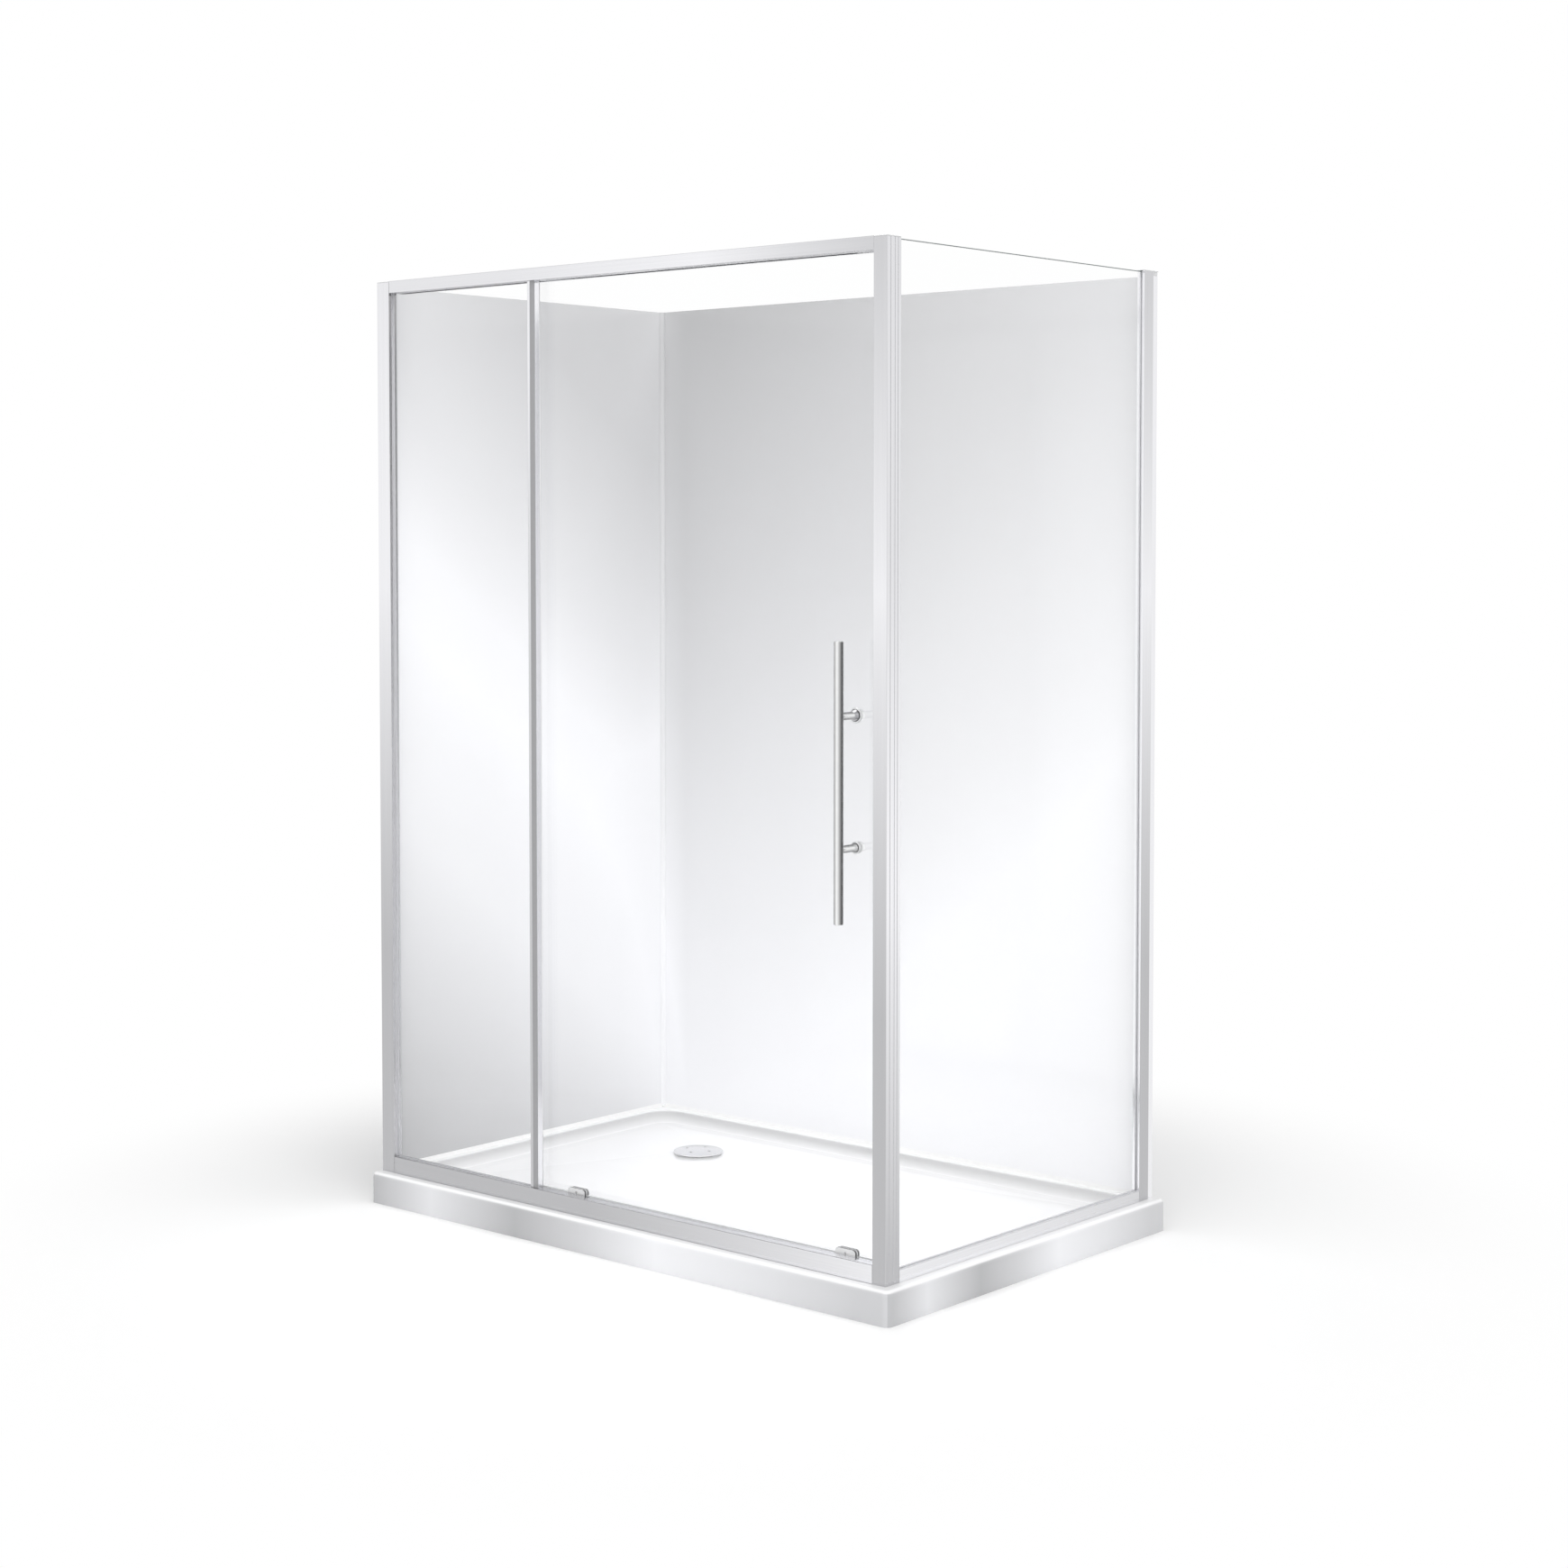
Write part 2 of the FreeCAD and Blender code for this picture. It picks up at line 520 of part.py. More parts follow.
def liner_sealant():
    """Silicone under and in front of both liners' lower edges, and under the trim."""
    trim_front = liner_face_y - TRIM_WIDTH
    trim_side = liner_face_x + TRIM_WIDTH
    left = bead_outline(lambda away: wall_x + UPSTAND_THICKNESS + away,
                        lambda x, z: FreeCAD.Vector(x, left_liner_front, z))
    back = bead_outline(lambda away: wall_y - UPSTAND_THICKNESS - away,
                        lambda y, z: FreeCAD.Vector(trim_side, y, z))
    corner = box(wall_x + UPSTAND_THICKNESS, trim_side, trim_front, wall_y - UPSTAND_THICKNESS,
                 ledge, liner_bottom)
    return [
        left.extrude(ALONG_Y * (trim_front - left_liner_front)),
        back.extrude(ALONG_X * (back_liner_end - trim_side)),
        corner,
    ]


# Wall channels and posts

def screw_holes_y(radius, x, y, heights, length):
    return Part.makeCompound([rod(radius, length, x, y, z, ALONG_Y) for z in heights])


def screw_holes_x(radius, x, y, heights, length):
    return Part.makeCompound([rod(radius, length, x, y, z, ALONG_X) for z in heights])




def left_wall_channel():
    """U-section screwed to the left wall, with four screw holes in its back."""
    front = frame_front + EXTRUSION_WALL + CHANNEL_CLEARANCE
    rear = box_rear - EXTRUSION_WALL - CHANNEL_CLEARANCE
    tip = wall_x + WALL_CHANNEL_REACH
    channel = box(wall_x, tip, front, rear, ledge, post_top - CAP_PLUG_DEPTH)
    hollow = box(wall_x + WALL_CHANNEL_WALL, tip + OVERCUT, front + WALL_CHANNEL_WALL,
                 rear - WALL_CHANNEL_WALL, ledge - OVERCUT, frame_top)
    wall_holes = screw_holes_x(WALL_HOLE_RADIUS, wall_x - OVERCUT, fixed_plane, wall_hole_heights,
                               WALL_CHANNEL_WALL + 2 * OVERCUT)
    post_holes = screw_holes_y(POST_SCREW_RADIUS, left_screw_x, rear - WALL_CHANNEL_WALL - OVERCUT,
                               post_screw_heights, WALL_CHANNEL_WALL + 2 * OVERCUT)
    return channel.cut(hollow).cut(wall_holes).cut(post_holes)


def left_post():
    """Box that slides over the wall channel and takes the fixed pane in a pocket."""
    post = box(wall_x + POST_WALL_GAP, left_post_inner, frame_front, box_rear, ledge, post_top)
    over_channel = box(wall_x, wall_x + WALL_CHANNEL_REACH + CHANNEL_CLEARANCE,
                       frame_front + EXTRUSION_WALL, box_rear - EXTRUSION_WALL, ledge - OVERCUT, frame_top)
    pocket = box(left_post_inner - POCKET_DEPTH, left_post_inner + OVERCUT, fixed_plane - pocket_half,
                 fixed_plane + pocket_half, ledge - OVERCUT, frame_top)
    post_holes = screw_holes_y(POST_SCREW_RADIUS, left_screw_x, box_rear - EXTRUSION_WALL - OVERCUT,
                               post_screw_heights, EXTRUSION_WALL + 2 * OVERCUT)
    return post.cut(over_channel).cut(pocket).cut(post_holes)


def left_post_cap():
    plate = box(wall_x + POST_WALL_GAP, left_post_inner, frame_front, box_rear, post_top, frame_top)
    slack = EXTRUSION_WALL + CAP_PLUG_CLEARANCE
    plug = box(wall_x + POST_WALL_GAP, wall_x + WALL_CHANNEL_REACH, frame_front + slack, box_rear - slack,
               post_top - CAP_PLUG_DEPTH, post_top)
    return joined([plate, plug])


def corner_post():
    """Corner extrusion: hollow at the front, a pocket for the side pane at the back."""
    post = box(corner_post_inner, frame_side, frame_front, corner_post_rear, ledge, post_top)
    pocket = box(side_plane - pocket_half, side_plane + pocket_half, corner_post_rear - POCKET_DEPTH,
                 corner_post_rear + OVERCUT, ledge - OVERCUT, frame_top)
    front_chamber = box(corner_post_inner + EXTRUSION_WALL, frame_side - 2 * EXTRUSION_WALL,
                        frame_front + EXTRUSION_WALL, corner_post_rear - POCKET_DEPTH - EXTRUSION_WALL,
                        ledge - OVERCUT, frame_top)
    rear_chamber = box(corner_post_inner + EXTRUSION_WALL, side_plane - pocket_half - EXTRUSION_WALL,
                       corner_post_rear - POCKET_DEPTH, corner_post_rear - EXTRUSION_WALL,
                       ledge - OVERCUT, frame_top)
    cuts = [pocket, front_chamber, rear_chamber]
    for place in POST_GROOVES:
        groove_y = frame_front + place - POST_GROOVE_WIDTH / 2
        cuts.append(box(frame_side - POST_GROOVE_DEPTH, frame_side + OVERCUT, groove_y,
                        groove_y + POST_GROOVE_WIDTH, ledge - OVERCUT, frame_top))
    cuts.append(box(frame_side - POST_GROOVE_DEPTH, frame_side + OVERCUT, frame_front + POST_RECESS[0],
                    frame_front + POST_RECESS[1], ledge - OVERCUT, frame_top))
    return post.cut(Part.makeCompound(cuts))


def corner_post_cap():
    plate = box(corner_post_inner, frame_side, frame_front, corner_post_rear, post_top, frame_top)
    slack = EXTRUSION_WALL + CAP_PLUG_CLEARANCE
    plug = box(corner_post_inner + slack, frame_side - 2 * slack, frame_front + slack,
               corner_post_rear - POCKET_DEPTH - slack, post_top - CAP_PLUG_DEPTH, post_top)
    return joined([plate, plug])


def right_wall_channel():
    """U-section screwed to the rear wall, part of its side left in view."""
    left = frame_side - RIGHT_POST_WIDTH + EXTRUSION_WALL + CHANNEL_CLEARANCE
    right = frame_side - EXTRUSION_WALL - RIGHT_STEP_DEPTH - CHANNEL_CLEARANCE
    tip = wall_y - RIGHT_CHANNEL_REACH
    channel = box(left, right, tip, wall_y, ledge, post_top - CAP_PLUG_DEPTH)
    hollow = box(left + WALL_CHANNEL_WALL, right - WALL_CHANNEL_WALL, tip - OVERCUT,
                 wall_y - WALL_CHANNEL_WALL, ledge - OVERCUT, frame_top)
    middle = (left + right) / 2
    wall_holes = screw_holes_y(WALL_HOLE_RADIUS, middle, wall_y - WALL_CHANNEL_WALL - OVERCUT,
                               wall_hole_heights, WALL_CHANNEL_WALL + 2 * OVERCUT)
    post_holes = screw_holes_x(POST_SCREW_RADIUS, left - OVERCUT, right_screw_y, post_screw_heights,
                               WALL_CHANNEL_WALL + 2 * OVERCUT)
    return channel.cut(hollow).cut(wall_holes).cut(post_holes)


def right_post():
    """Post over the rear wall channel; a step in its outer face and a pocket in front."""
    left = frame_side - RIGHT_POST_WIDTH
    post = box(left, frame_side, right_post_front, right_post_rear, ledge, post_top)
    step = box(frame_side - RIGHT_STEP_DEPTH, frame_side + OVERCUT, right_post_front + RIGHT_POST_STEP,
               right_post_rear + OVERCUT, ledge - OVERCUT, frame_top)
    over_channel = box(left + EXTRUSION_WALL, frame_side - EXTRUSION_WALL - RIGHT_STEP_DEPTH,
                       wall_y - RIGHT_CHANNEL_REACH - CHANNEL_CLEARANCE, wall_y,
                       ledge - OVERCUT, frame_top)
    pocket = box(side_plane - pocket_half, side_plane + pocket_half, right_post_front - OVERCUT,
                 right_post_front + POCKET_DEPTH, ledge - OVERCUT, frame_top)
    post_holes = screw_holes_x(POST_SCREW_RADIUS, left - OVERCUT, right_screw_y, post_screw_heights,
                               EXTRUSION_WALL + 2 * OVERCUT)
    return post.cut(step).cut(over_channel).cut(pocket).cut(post_holes)


def right_post_cap():
    left = frame_side - RIGHT_POST_WIDTH
    plate = box(left, frame_side, right_post_front, wall_y, post_top, frame_top)
    slack = EXTRUSION_WALL + CAP_PLUG_CLEARANCE
    plug = box(left + slack, frame_side - slack - RIGHT_STEP_DEPTH, wall_y - RIGHT_CHANNEL_REACH,
               wall_y, post_top - CAP_PLUG_DEPTH, post_top)
    return joined([plate, plug])


def post_screws():
    """Pan-head screws that fix each post to its wall channel, driven from the inside."""
    screws = []
    channel_gap = EXTRUSION_WALL + CHANNEL_CLEARANCE + WALL_CHANNEL_WALL
    for z in post_screw_heights:
        left_shank = rod(POST_SCREW_RADIUS, channel_gap, left_screw_x, box_rear - channel_gap, z, ALONG_Y)
        left_head = rod(POST_SCREW_HEAD_RADIUS, POST_SCREW_HEAD, left_screw_x, box_rear, z, ALONG_Y)
        screws.append(joined([left_shank, left_head]))
        right_face = frame_side - RIGHT_POST_WIDTH
        right_shank = rod(POST_SCREW_RADIUS, channel_gap, right_face, right_screw_y, z, ALONG_X)
        right_head = rod(POST_SCREW_HEAD_RADIUS, POST_SCREW_HEAD, right_face - POST_SCREW_HEAD,
                         right_screw_y, z, ALONG_X)
        screws.append(joined([right_shank, right_head]))
    return screws


# Header, sill and side channel

def header_rail():
    """Front box with a glazing slot below, and a guide channel for the door behind."""
    rear = door_plane + guide_channel_half + EXTRUSION_WALL
    rail = box(left_post_inner, corner_post_inner, frame_front, rear, header_bottom, frame_top)
    x0 = left_post_inner - OVERCUT
    x1 = corner_post_inner + OVERCUT
    chamber = box(x0, x1, frame_front + EXTRUSION_WALL, box_rear - EXTRUSION_WALL,
                  header_bottom + EXTRUSION_WALL, frame_top - EXTRUSION_WALL)
    slot = box(x0, x1, fixed_plane - pocket_half, fixed_plane + pocket_half,
               header_bottom - OVERCUT, header_bottom + 2 * EXTRUSION_WALL)
    guide_channel = box(x0, x1, box_rear, door_plane + guide_channel_half,
                        header_bottom - OVERCUT, frame_top - EXTRUSION_WALL)
    return rail.cut(chamber).cut(slot).cut(guide_channel)


def sill_rail():
    """Front box with a glazing slot above; a shelf behind it carries the track rib."""
    x0 = left_post_inner
    x1 = corner_post_inner
    front_box = box(x0, x1, frame_front, box_rear, ledge, sill_top)
    shelf = box(x0, x1, box_rear - EXTRUSION_WALL, sill_rear, ledge, ledge + SILL_SHELF_THICKNESS)
    rib = box(x0, x1, door_plane - TRACK_RIB_WIDTH / 2, door_plane + TRACK_RIB_WIDTH / 2, ledge, rib_top)
    lip = box(x0, x1, sill_rear - EXTRUSION_WALL, sill_rear, ledge, ledge + SILL_LIP_HEIGHT)
    chamber = box(x0 - OVERCUT, x1 + OVERCUT, frame_front + EXTRUSION_WALL, box_rear - EXTRUSION_WALL,
                  ledge + EXTRUSION_WALL, sill_top - EXTRUSION_WALL)
    slot = box(x0 - OVERCUT, x1 + OVERCUT, fixed_plane - pocket_half, fixed_plane + pocket_half,
               sill_top - 2 * EXTRUSION_WALL, sill_top + OVERCUT)
    return joined([front_box, shelf, rib, lip]).cut(chamber).cut(slot)


def filler(z_outer, inward):
    """Snap-in strip that closes a glazing slot beside the mullion, with two barbed legs."""
    z_inner = z_outer + inward * FILLER_THICKNESS
    leg_tip = z_outer + inward * 2 * FILLER_THICKNESS
    strip = box(mullion_right, corner_post_inner, fixed_plane - pocket_half, fixed_plane + pocket_half,
                min(z_outer, z_inner), max(z_outer, z_inner))
    solids = [strip]
    for side in (-1, 1):
        y = fixed_plane + side * (pocket_half - FILLER_THICKNESS / 2)
        solids.append(box(mullion_right, corner_post_inner, y - FILLER_THICKNESS / 2,
                          y + FILLER_THICKNESS / 2, min(z_outer, leg_tip), max(z_outer, leg_tip)))
    return joined(solids)


def side_channel():
    """U-section on the ledge under the side pane."""
    left = frame_side - SIDE_CHANNEL_WIDTH
    top = ledge + SIDE_CHANNEL_HEIGHT
    channel = box(left, frame_side, corner_post_rear, right_post_front, ledge, top)
    hollow = box(left + EXTRUSION_WALL, frame_side - EXTRUSION_WALL, corner_post_rear - OVERCUT,
                 right_post_front + OVERCUT, ledge + EXTRUSION_WALL, top + OVERCUT)
    return channel.cut(hollow)


# Fixed front pane with its mullion

fixed_glass_left = left_post_inner - GLASS_BITE
fixed_glass_right = mullion_left + MULLION_BITE
fixed_glass_bottom = ledge + EXTRUSION_WALL + SETTING_BLOCK_HEIGHT
fixed_glass_top = frame_top - EXTRUSION_WALL - HEADER_TOP_GAP


def fixed_glass():
    return box(fixed_glass_left, fixed_glass_right, fixed_plane - GLASS / 2, fixed_plane + GLASS / 2,
               fixed_glass_bottom, fixed_glass_top)


def fixed_glass_gaskets():
    """Wedge gaskets on both faces of the pane in the post, the sill and the header."""
    strips = []
    for side in (-1, 1):
        face = fixed_plane + side * GLASS / 2
        y0 = min(face, face + side * GASKET)
        y1 = max(face, face + side * GASKET)
        strips.append(box(left_post_inner - GASKET_DEPTH, left_post_inner, y0, y1, sill_top, header_bottom))
        strips.append(box(left_post_inner, mullion_left, y0, y1, sill_top - GASKET_DEPTH, sill_top))
        strips.append(box(left_post_inner, mullion_left, y0, y1, header_bottom,
                          header_bottom + GASKET_DEPTH))
    return strips


def setting_blocks():
    """Blocks in the sill and the side channel that carry the fixed panes."""
    half = GLASS / 2 + GASKET
    blocks = []
    span = fixed_glass_right - left_post_inner
    for share in (0.25, 0.75):
        x = left_post_inner + share * span
        blocks.append(box(x - SETTING_BLOCK_LENGTH / 2, x + SETTING_BLOCK_LENGTH / 2, fixed_plane - half,
                          fixed_plane + half, ledge + EXTRUSION_WALL, fixed_glass_bottom))
        y = corner_post_rear + share * (right_post_front - corner_post_rear)
        blocks.append(box(side_plane - half, side_plane + half, y - SETTING_BLOCK_LENGTH / 2,
                          y + SETTING_BLOCK_LENGTH / 2, ledge + EXTRUSION_WALL, fixed_glass_bottom))
    return blocks


def mullion():
    """Upright profile on the pane's free edge, with an insert groove and a seal groove."""
    front = fixed_plane - MULLION_DEPTH / 2
    rear = fixed_plane + MULLION_DEPTH / 2
    profile = box(mullion_left, mullion_right, front, rear, sill_top, header_bottom)
    half_slot = GLASS / 2 + MULLION_GLASS_CLEARANCE
    slot = box(mullion_left - OVERCUT, fixed_glass_right, fixed_plane - half_slot,
               fixed_plane + half_slot, sill_top - OVERCUT, header_bottom + OVERCUT)
    insert_groove = box(mullion_right - MULLION_INSERT_WIDTH, mullion_right + OVERCUT, front - OVERCUT,
                        front + MULLION_INSERT_DEPTH, sill_top - OVERCUT, header_bottom + OVERCUT)
    middle = (mullion_left + mullion_right) / 2
    fin_groove = box(middle - FIN_BASE_WIDTH / 2, middle + FIN_BASE_WIDTH / 2, rear - FIN_BASE_DEPTH,
                     rear + OVERCUT, sill_top - OVERCUT, header_bottom + OVERCUT)
    return profile.cut(slot).cut(insert_groove).cut(fin_groove)


def mullion_insert():
    front = fixed_plane - MULLION_DEPTH / 2
    return box(mullion_right - MULLION_INSERT_WIDTH, mullion_right, front + MULLION_INSERT_DROP,
               front + MULLION_INSERT_DEPTH, sill_top, header_bottom)


def mullion_seal():
    """Fin seal behind the mullion that wipes the sliding pane above the carriages."""
    rear = fixed_plane + MULLION_DEPTH / 2
    middle = (mullion_left + mullion_right) / 2
    base = box(middle - FIN_BASE_WIDTH / 2, middle + FIN_BASE_WIDTH / 2, rear - FIN_BASE_DEPTH, rear,
               sill_top, header_bottom)
    fin = box(middle - FIN_THICKNESS / 2, middle + FIN_THICKNESS / 2, rear - OVERCUT,
              door_front_face - SEAL_CLEARANCE, carriage_top + FIN_FOOT_GAP, header_bottom)
    return joined([base, fin])


# Side pane

def side_glass():
    return box(side_plane - GLASS / 2, side_plane + GLASS / 2, corner_post_rear - GLASS_BITE,
               right_post_front + GLASS_BITE, fixed_glass_bottom, frame_top - SIDE_GLASS_DROP)


def side_glass_gaskets():
    """Gaskets on both faces of the side pane in its posts and its channel."""
    top = frame_top - SIDE_GLASS_DROP
    channel_top = ledge + SIDE_CHANNEL_HEIGHT
    channel_gasket = SIDE_CHANNEL_WIDTH / 2 - EXTRUSION_WALL - GLASS / 2
    strips = []
    for side in (-1, 1):
        face = side_plane + side * GLASS / 2
        x0 = min(face, face + side * GASKET)
        x1 = max(face, face + side * GASKET)
        strips.append(box(x0, x1, corner_post_rear - GASKET_DEPTH, corner_post_rear, channel_top, top))
        strips.append(box(x0, x1, right_post_front, right_post_front + GASKET_DEPTH, channel_top, top))
        x0 = min(face, face + side * channel_gasket)
        x1 = max(face, face + side * channel_gasket)
        strips.append(box(x0, x1, corner_post_rear, right_post_front, channel_top - GASKET_DEPTH,
                          channel_top))
    return strips


def magnet_strip():
    """Magnetic strip on the corner post that the door closes against."""
    return box(corner_post_inner - MAGNET_STRIP_THICKNESS, corner_post_inner,
               door_plane - MAGNET_STRIP_WIDTH / 2, door_plane + MAGNET_STRIP_WIDTH / 2,
               door_bottom, header_bottom)


def open_stop():
    """Rubber block in the end of the header's channel that the open pane runs up to."""
    return box(left_post_inner, door_left - door_travel - STOP_GAP, box_rear,
               door_plane + guide_channel_half, header_bottom + STOP_BOTTOM_GAP,
               frame_top - EXTRUSION_WALL)


# Sliding door

def door_glass():
    pane = box(door_left, door_right, door_front_face, door_back_face, door_bottom, door_top)
    holes = []
    for z in standoff_heights:
        holes.append(rod(HANDLE_SCREW_RADIUS + GLASS_HOLE_CLEARANCE, GLASS + 2 * OVERCUT, handle_x,
                         door_front_face - OVERCUT, z, ALONG_Y))
    for x in carriage_places:
        holes.append(rod(CARRIAGE_SCREW_RADIUS + GLASS_HOLE_CLEARANCE, GLASS + 2 * OVERCUT, x,
                         door_front_face - OVERCUT, carriage_screw_z, ALONG_Y))
    return pane.cut(Part.makeCompound(holes))


def door_leading_seal():
    """Magnetic seal clipped on the door's closing edge."""
    half = LEADING_SEAL_THICKNESS / 2
    seal = box(door_seal_tip - LEADING_SEAL_WIDTH, door_seal_tip, door_plane - half, door_plane + half,
               door_bottom, header_bottom)
    slot = box(door_seal_tip - LEADING_SEAL_WIDTH - OVERCUT, door_right, door_front_face, door_back_face,
               door_bottom - OVERCUT, header_bottom + OVERCUT)
    return seal.cut(slot)


def door_trailing_profile():
    """U-profile on the door's opening edge."""
    half = GLASS / 2 + TRAILING_PROFILE_WALL
    profile = box(door_end, door_end + TRAILING_PROFILE_WIDTH, door_plane - half, door_plane + half,
                  door_bottom, header_bottom)
    slot = box(door_left, door_end + TRAILING_PROFILE_WIDTH + OVERCUT, door_front_face, door_back_face,
               door_bottom - OVERCUT, header_bottom + OVERCUT)
    return profile.cut(slot)


def door_bottom_seal():
    """Drip seal on the pane's lower edge, in three lengths between the carriages."""
    half = GLASS / 2 + BOTTOM_SEAL_WALL
    carriage_half = CARRIAGE_WIDTH / 2 + BOTTOM_SEAL_END_GAP
    ends = [door_left + TRAILING_PROFILE_WIDTH]
    for x in carriage_places:
        ends += [x - carriage_half, x + carriage_half]
    ends.append(door_right - LEADING_SEAL_BITE - BOTTOM_SEAL_END_GAP)
    lengths = []
    for x0, x1 in zip(ends[0::2], ends[1::2]):
        clip = box(x0, x1, door_plane - half, door_plane + half, door_bottom - BOTTOM_SEAL_WALL,
                   door_bottom + BOTTOM_SEAL_BITE)
        slot = box(x0 - OVERCUT, x1 + OVERCUT, door_front_face, door_back_face, door_bottom,
                   door_bottom + BOTTOM_SEAL_BITE + OVERCUT)
        fin = box(x0, x1, door_plane + half - BOTTOM_SEAL_WALL, door_plane + half,
                  door_bottom - BOTTOM_SEAL_FIN, door_bottom)
        lengths.append(joined([clip.cut(slot), fin]))
    return lengths


# Roller carriages

def wheel_places(x):
    return (x - WHEEL_HALF_SPACING, x + WHEEL_HALF_SPACING)


def bottom_carriage(x):
    """Nylon housing clamped round the pane's lower edge, open below for two wheels."""
    half = CARRIAGE_WIDTH / 2
    front = door_plane - CARRIAGE_THICKNESS / 2
    rear = door_plane + CARRIAGE_THICKNESS / 2
    housing = box(x - half, x + half, front, rear, carriage_bottom, carriage_top)
    top_corners = [
        edge for edge in housing.Edges
        if edge.BoundBox.YLength > CARRIAGE_THICKNESS - 1 and edge.BoundBox.ZMin > carriage_top - 1
    ]
    housing = housing.makeFillet(CARRIAGE_CORNER_RADIUS, top_corners)
    glass_slot = box(x - half - OVERCUT, x + half + OVERCUT, door_front_face, door_back_face,
                     door_bottom, carriage_top + OVERCUT)
    pocket_reach = WHEEL_HALF_SPACING + WHEEL_FLANGE_RADIUS + WHEEL_POCKET_CLEARANCE
    pocket_half_width = WHEEL_WIDTH / 2 + WHEEL_POCKET_CLEARANCE
    wheel_pocket = box(x - pocket_reach, x + pocket_reach, door_plane - pocket_half_width,
                       door_plane + pocket_half_width, carriage_bottom - OVERCUT,
                       wheel_axis_z + WHEEL_FLANGE_RADIUS + WHEEL_POCKET_CLEARANCE)
    bores = []
    for wheel_x in wheel_places(x):
        bores.append(rod(AXLE_RADIUS, CARRIAGE_THICKNESS + 2 * OVERCUT, wheel_x, front - OVERCUT,
                         wheel_axis_z, ALONG_Y))
        bores.append(rod(AXLE_HEAD_RADIUS, AXLE_HEAD + OVERCUT, wheel_x, rear - AXLE_HEAD,
                         wheel_axis_z, ALONG_Y))
    bores.append(rod(CARRIAGE_SCREW_RADIUS, CARRIAGE_THICKNESS + 2 * OVERCUT, x, front - OVERCUT,
                     carriage_screw_z, ALONG_Y))
    return housing.cut(glass_slot).cut(wheel_pocket).cut(Part.makeCompound(bores))


def wheel_axles():
    """Steel pins with sunk heads, pressed through the carriages."""
    front = door_plane - CARRIAGE_THICKNESS / 2
    rear = door_plane + CARRIAGE_THICKNESS / 2
    pins = []
    for x in carriage_places:
        for wheel_x in wheel_places(x):
            shaft = rod(AXLE_RADIUS, CARRIAGE_THICKNESS, wheel_x, front, wheel_axis_z, ALONG_Y)
            head = rod(AXLE_HEAD_RADIUS, AXLE_HEAD, wheel_x, rear - AXLE_HEAD, wheel_axis_z, ALONG_Y)
            pins.append(joined([shaft, head]))
    return pins


def carriage_screws():
    """Clamping screws through the carriages and the pane."""
    front = door_plane - CARRIAGE_THICKNESS / 2
    rear = door_plane + CARRIAGE_THICKNESS / 2
    screws = []
    for x in carriage_places:
        shank = rod(CARRIAGE_SCREW_RADIUS, CARRIAGE_THICKNESS, x, front, carriage_screw_z, ALONG_Y)
        head = rod(CARRIAGE_SCREW_HEAD_RADIUS, CARRIAGE_SCREW_HEAD, x, rear, carriage_screw_z, ALONG_Y)
        screws.append(joined([shank, head]))
    return screws


def bottom_wheel(x):
    """Nylon wheel whose groove straddles the track rib, turning on its pin along Y."""
    y0 = door_plane - WHEEL_WIDTH / 2
    wheel = tube(WHEEL_FLANGE_RADIUS, AXLE_RADIUS + RUNNING_CLEARANCE, WHEEL_WIDTH, x, y0,
                 wheel_axis_z, ALONG_Y)
    groove_width = TRACK_RIB_WIDTH + 2 * TREAD_SIDE_CLEARANCE
    groove = tube(WHEEL_FLANGE_RADIUS + OVERCUT, WHEEL_TREAD_RADIUS, groove_width, x,
                  door_plane - groove_width / 2, wheel_axis_z, ALONG_Y)
    return wheel.cut(groove)


# Guides in the header

def top_guide(x):
    """Saddle bonded over the pane's top edge, drilled for the guide wheel's pin."""
    half = GLASS / 2 + GUIDE_WALL
    saddle = box(x - GUIDE_WIDTH / 2, x + GUIDE_WIDTH / 2, door_plane - half, door_plane + half,
                 door_top - GUIDE_LEG, guide_top)
    slot = box(x - GUIDE_WIDTH / 2 - OVERCUT, x + GUIDE_WIDTH / 2 + OVERCUT, door_front_face,
               door_back_face, door_top - GUIDE_LEG - OVERCUT, door_top)
    pin_hole = rod(GUIDE_PIN_RADIUS, GUIDE_WALL + 2 * OVERCUT, x, door_plane, door_top - OVERCUT, ALONG_Z)
    return saddle.cut(slot).cut(pin_hole)


def guide_pins():
    """Pins that stand in the saddles; a collar below and a head above hold each wheel."""
    pins = []
    for x in guide_places:
        shaft_length = guide_wheel_top + GUIDE_PIN_HEAD + RUNNING_CLEARANCE - door_top
        shaft = rod(GUIDE_PIN_RADIUS, shaft_length, x, door_plane, door_top, ALONG_Z)
        collar = rod(GUIDE_PIN_HEAD_RADIUS, GUIDE_WHEEL_LIFT - RUNNING_CLEARANCE, x, door_plane,
                     guide_top, ALONG_Z)
        head = rod(GUIDE_PIN_HEAD_RADIUS, GUIDE_PIN_HEAD, x, door_plane,
                   guide_wheel_top + RUNNING_CLEARANCE, ALONG_Z)
        pins.append(joined([shaft, collar, head]))
    return pins


def guide_wheel(x):
    """Nylon wheel on an upright pin, running between the walls of the header's channel."""
    radius = guide_channel_half - GUIDE_SIDE_CLEARANCE
    return tube(radius, GUIDE_PIN_RADIUS + RUNNING_CLEARANCE, GUIDE_WHEEL_HEIGHT, x, door_plane,
                guide_wheel_bottom, ALONG_Z)


# Handle

def bar_rod():
    return rod(HANDLE_BAR_RADIUS, HANDLE_BAR_LENGTH, handle_x, bar_y, handle_z - HANDLE_BAR_LENGTH / 2,
               ALONG_Z)


def handle_bar():
    bar = bar_rod()
    ends = [edge for edge in bar.Edges if edge.BoundBox.ZLength < 1e-3]
    return bar.makeFillet(HANDLE_END_RADIUS, ends)


rosette_front = door_front_face - HANDLE_WASHER_THICKNESS - ROSETTE_THICKNESS


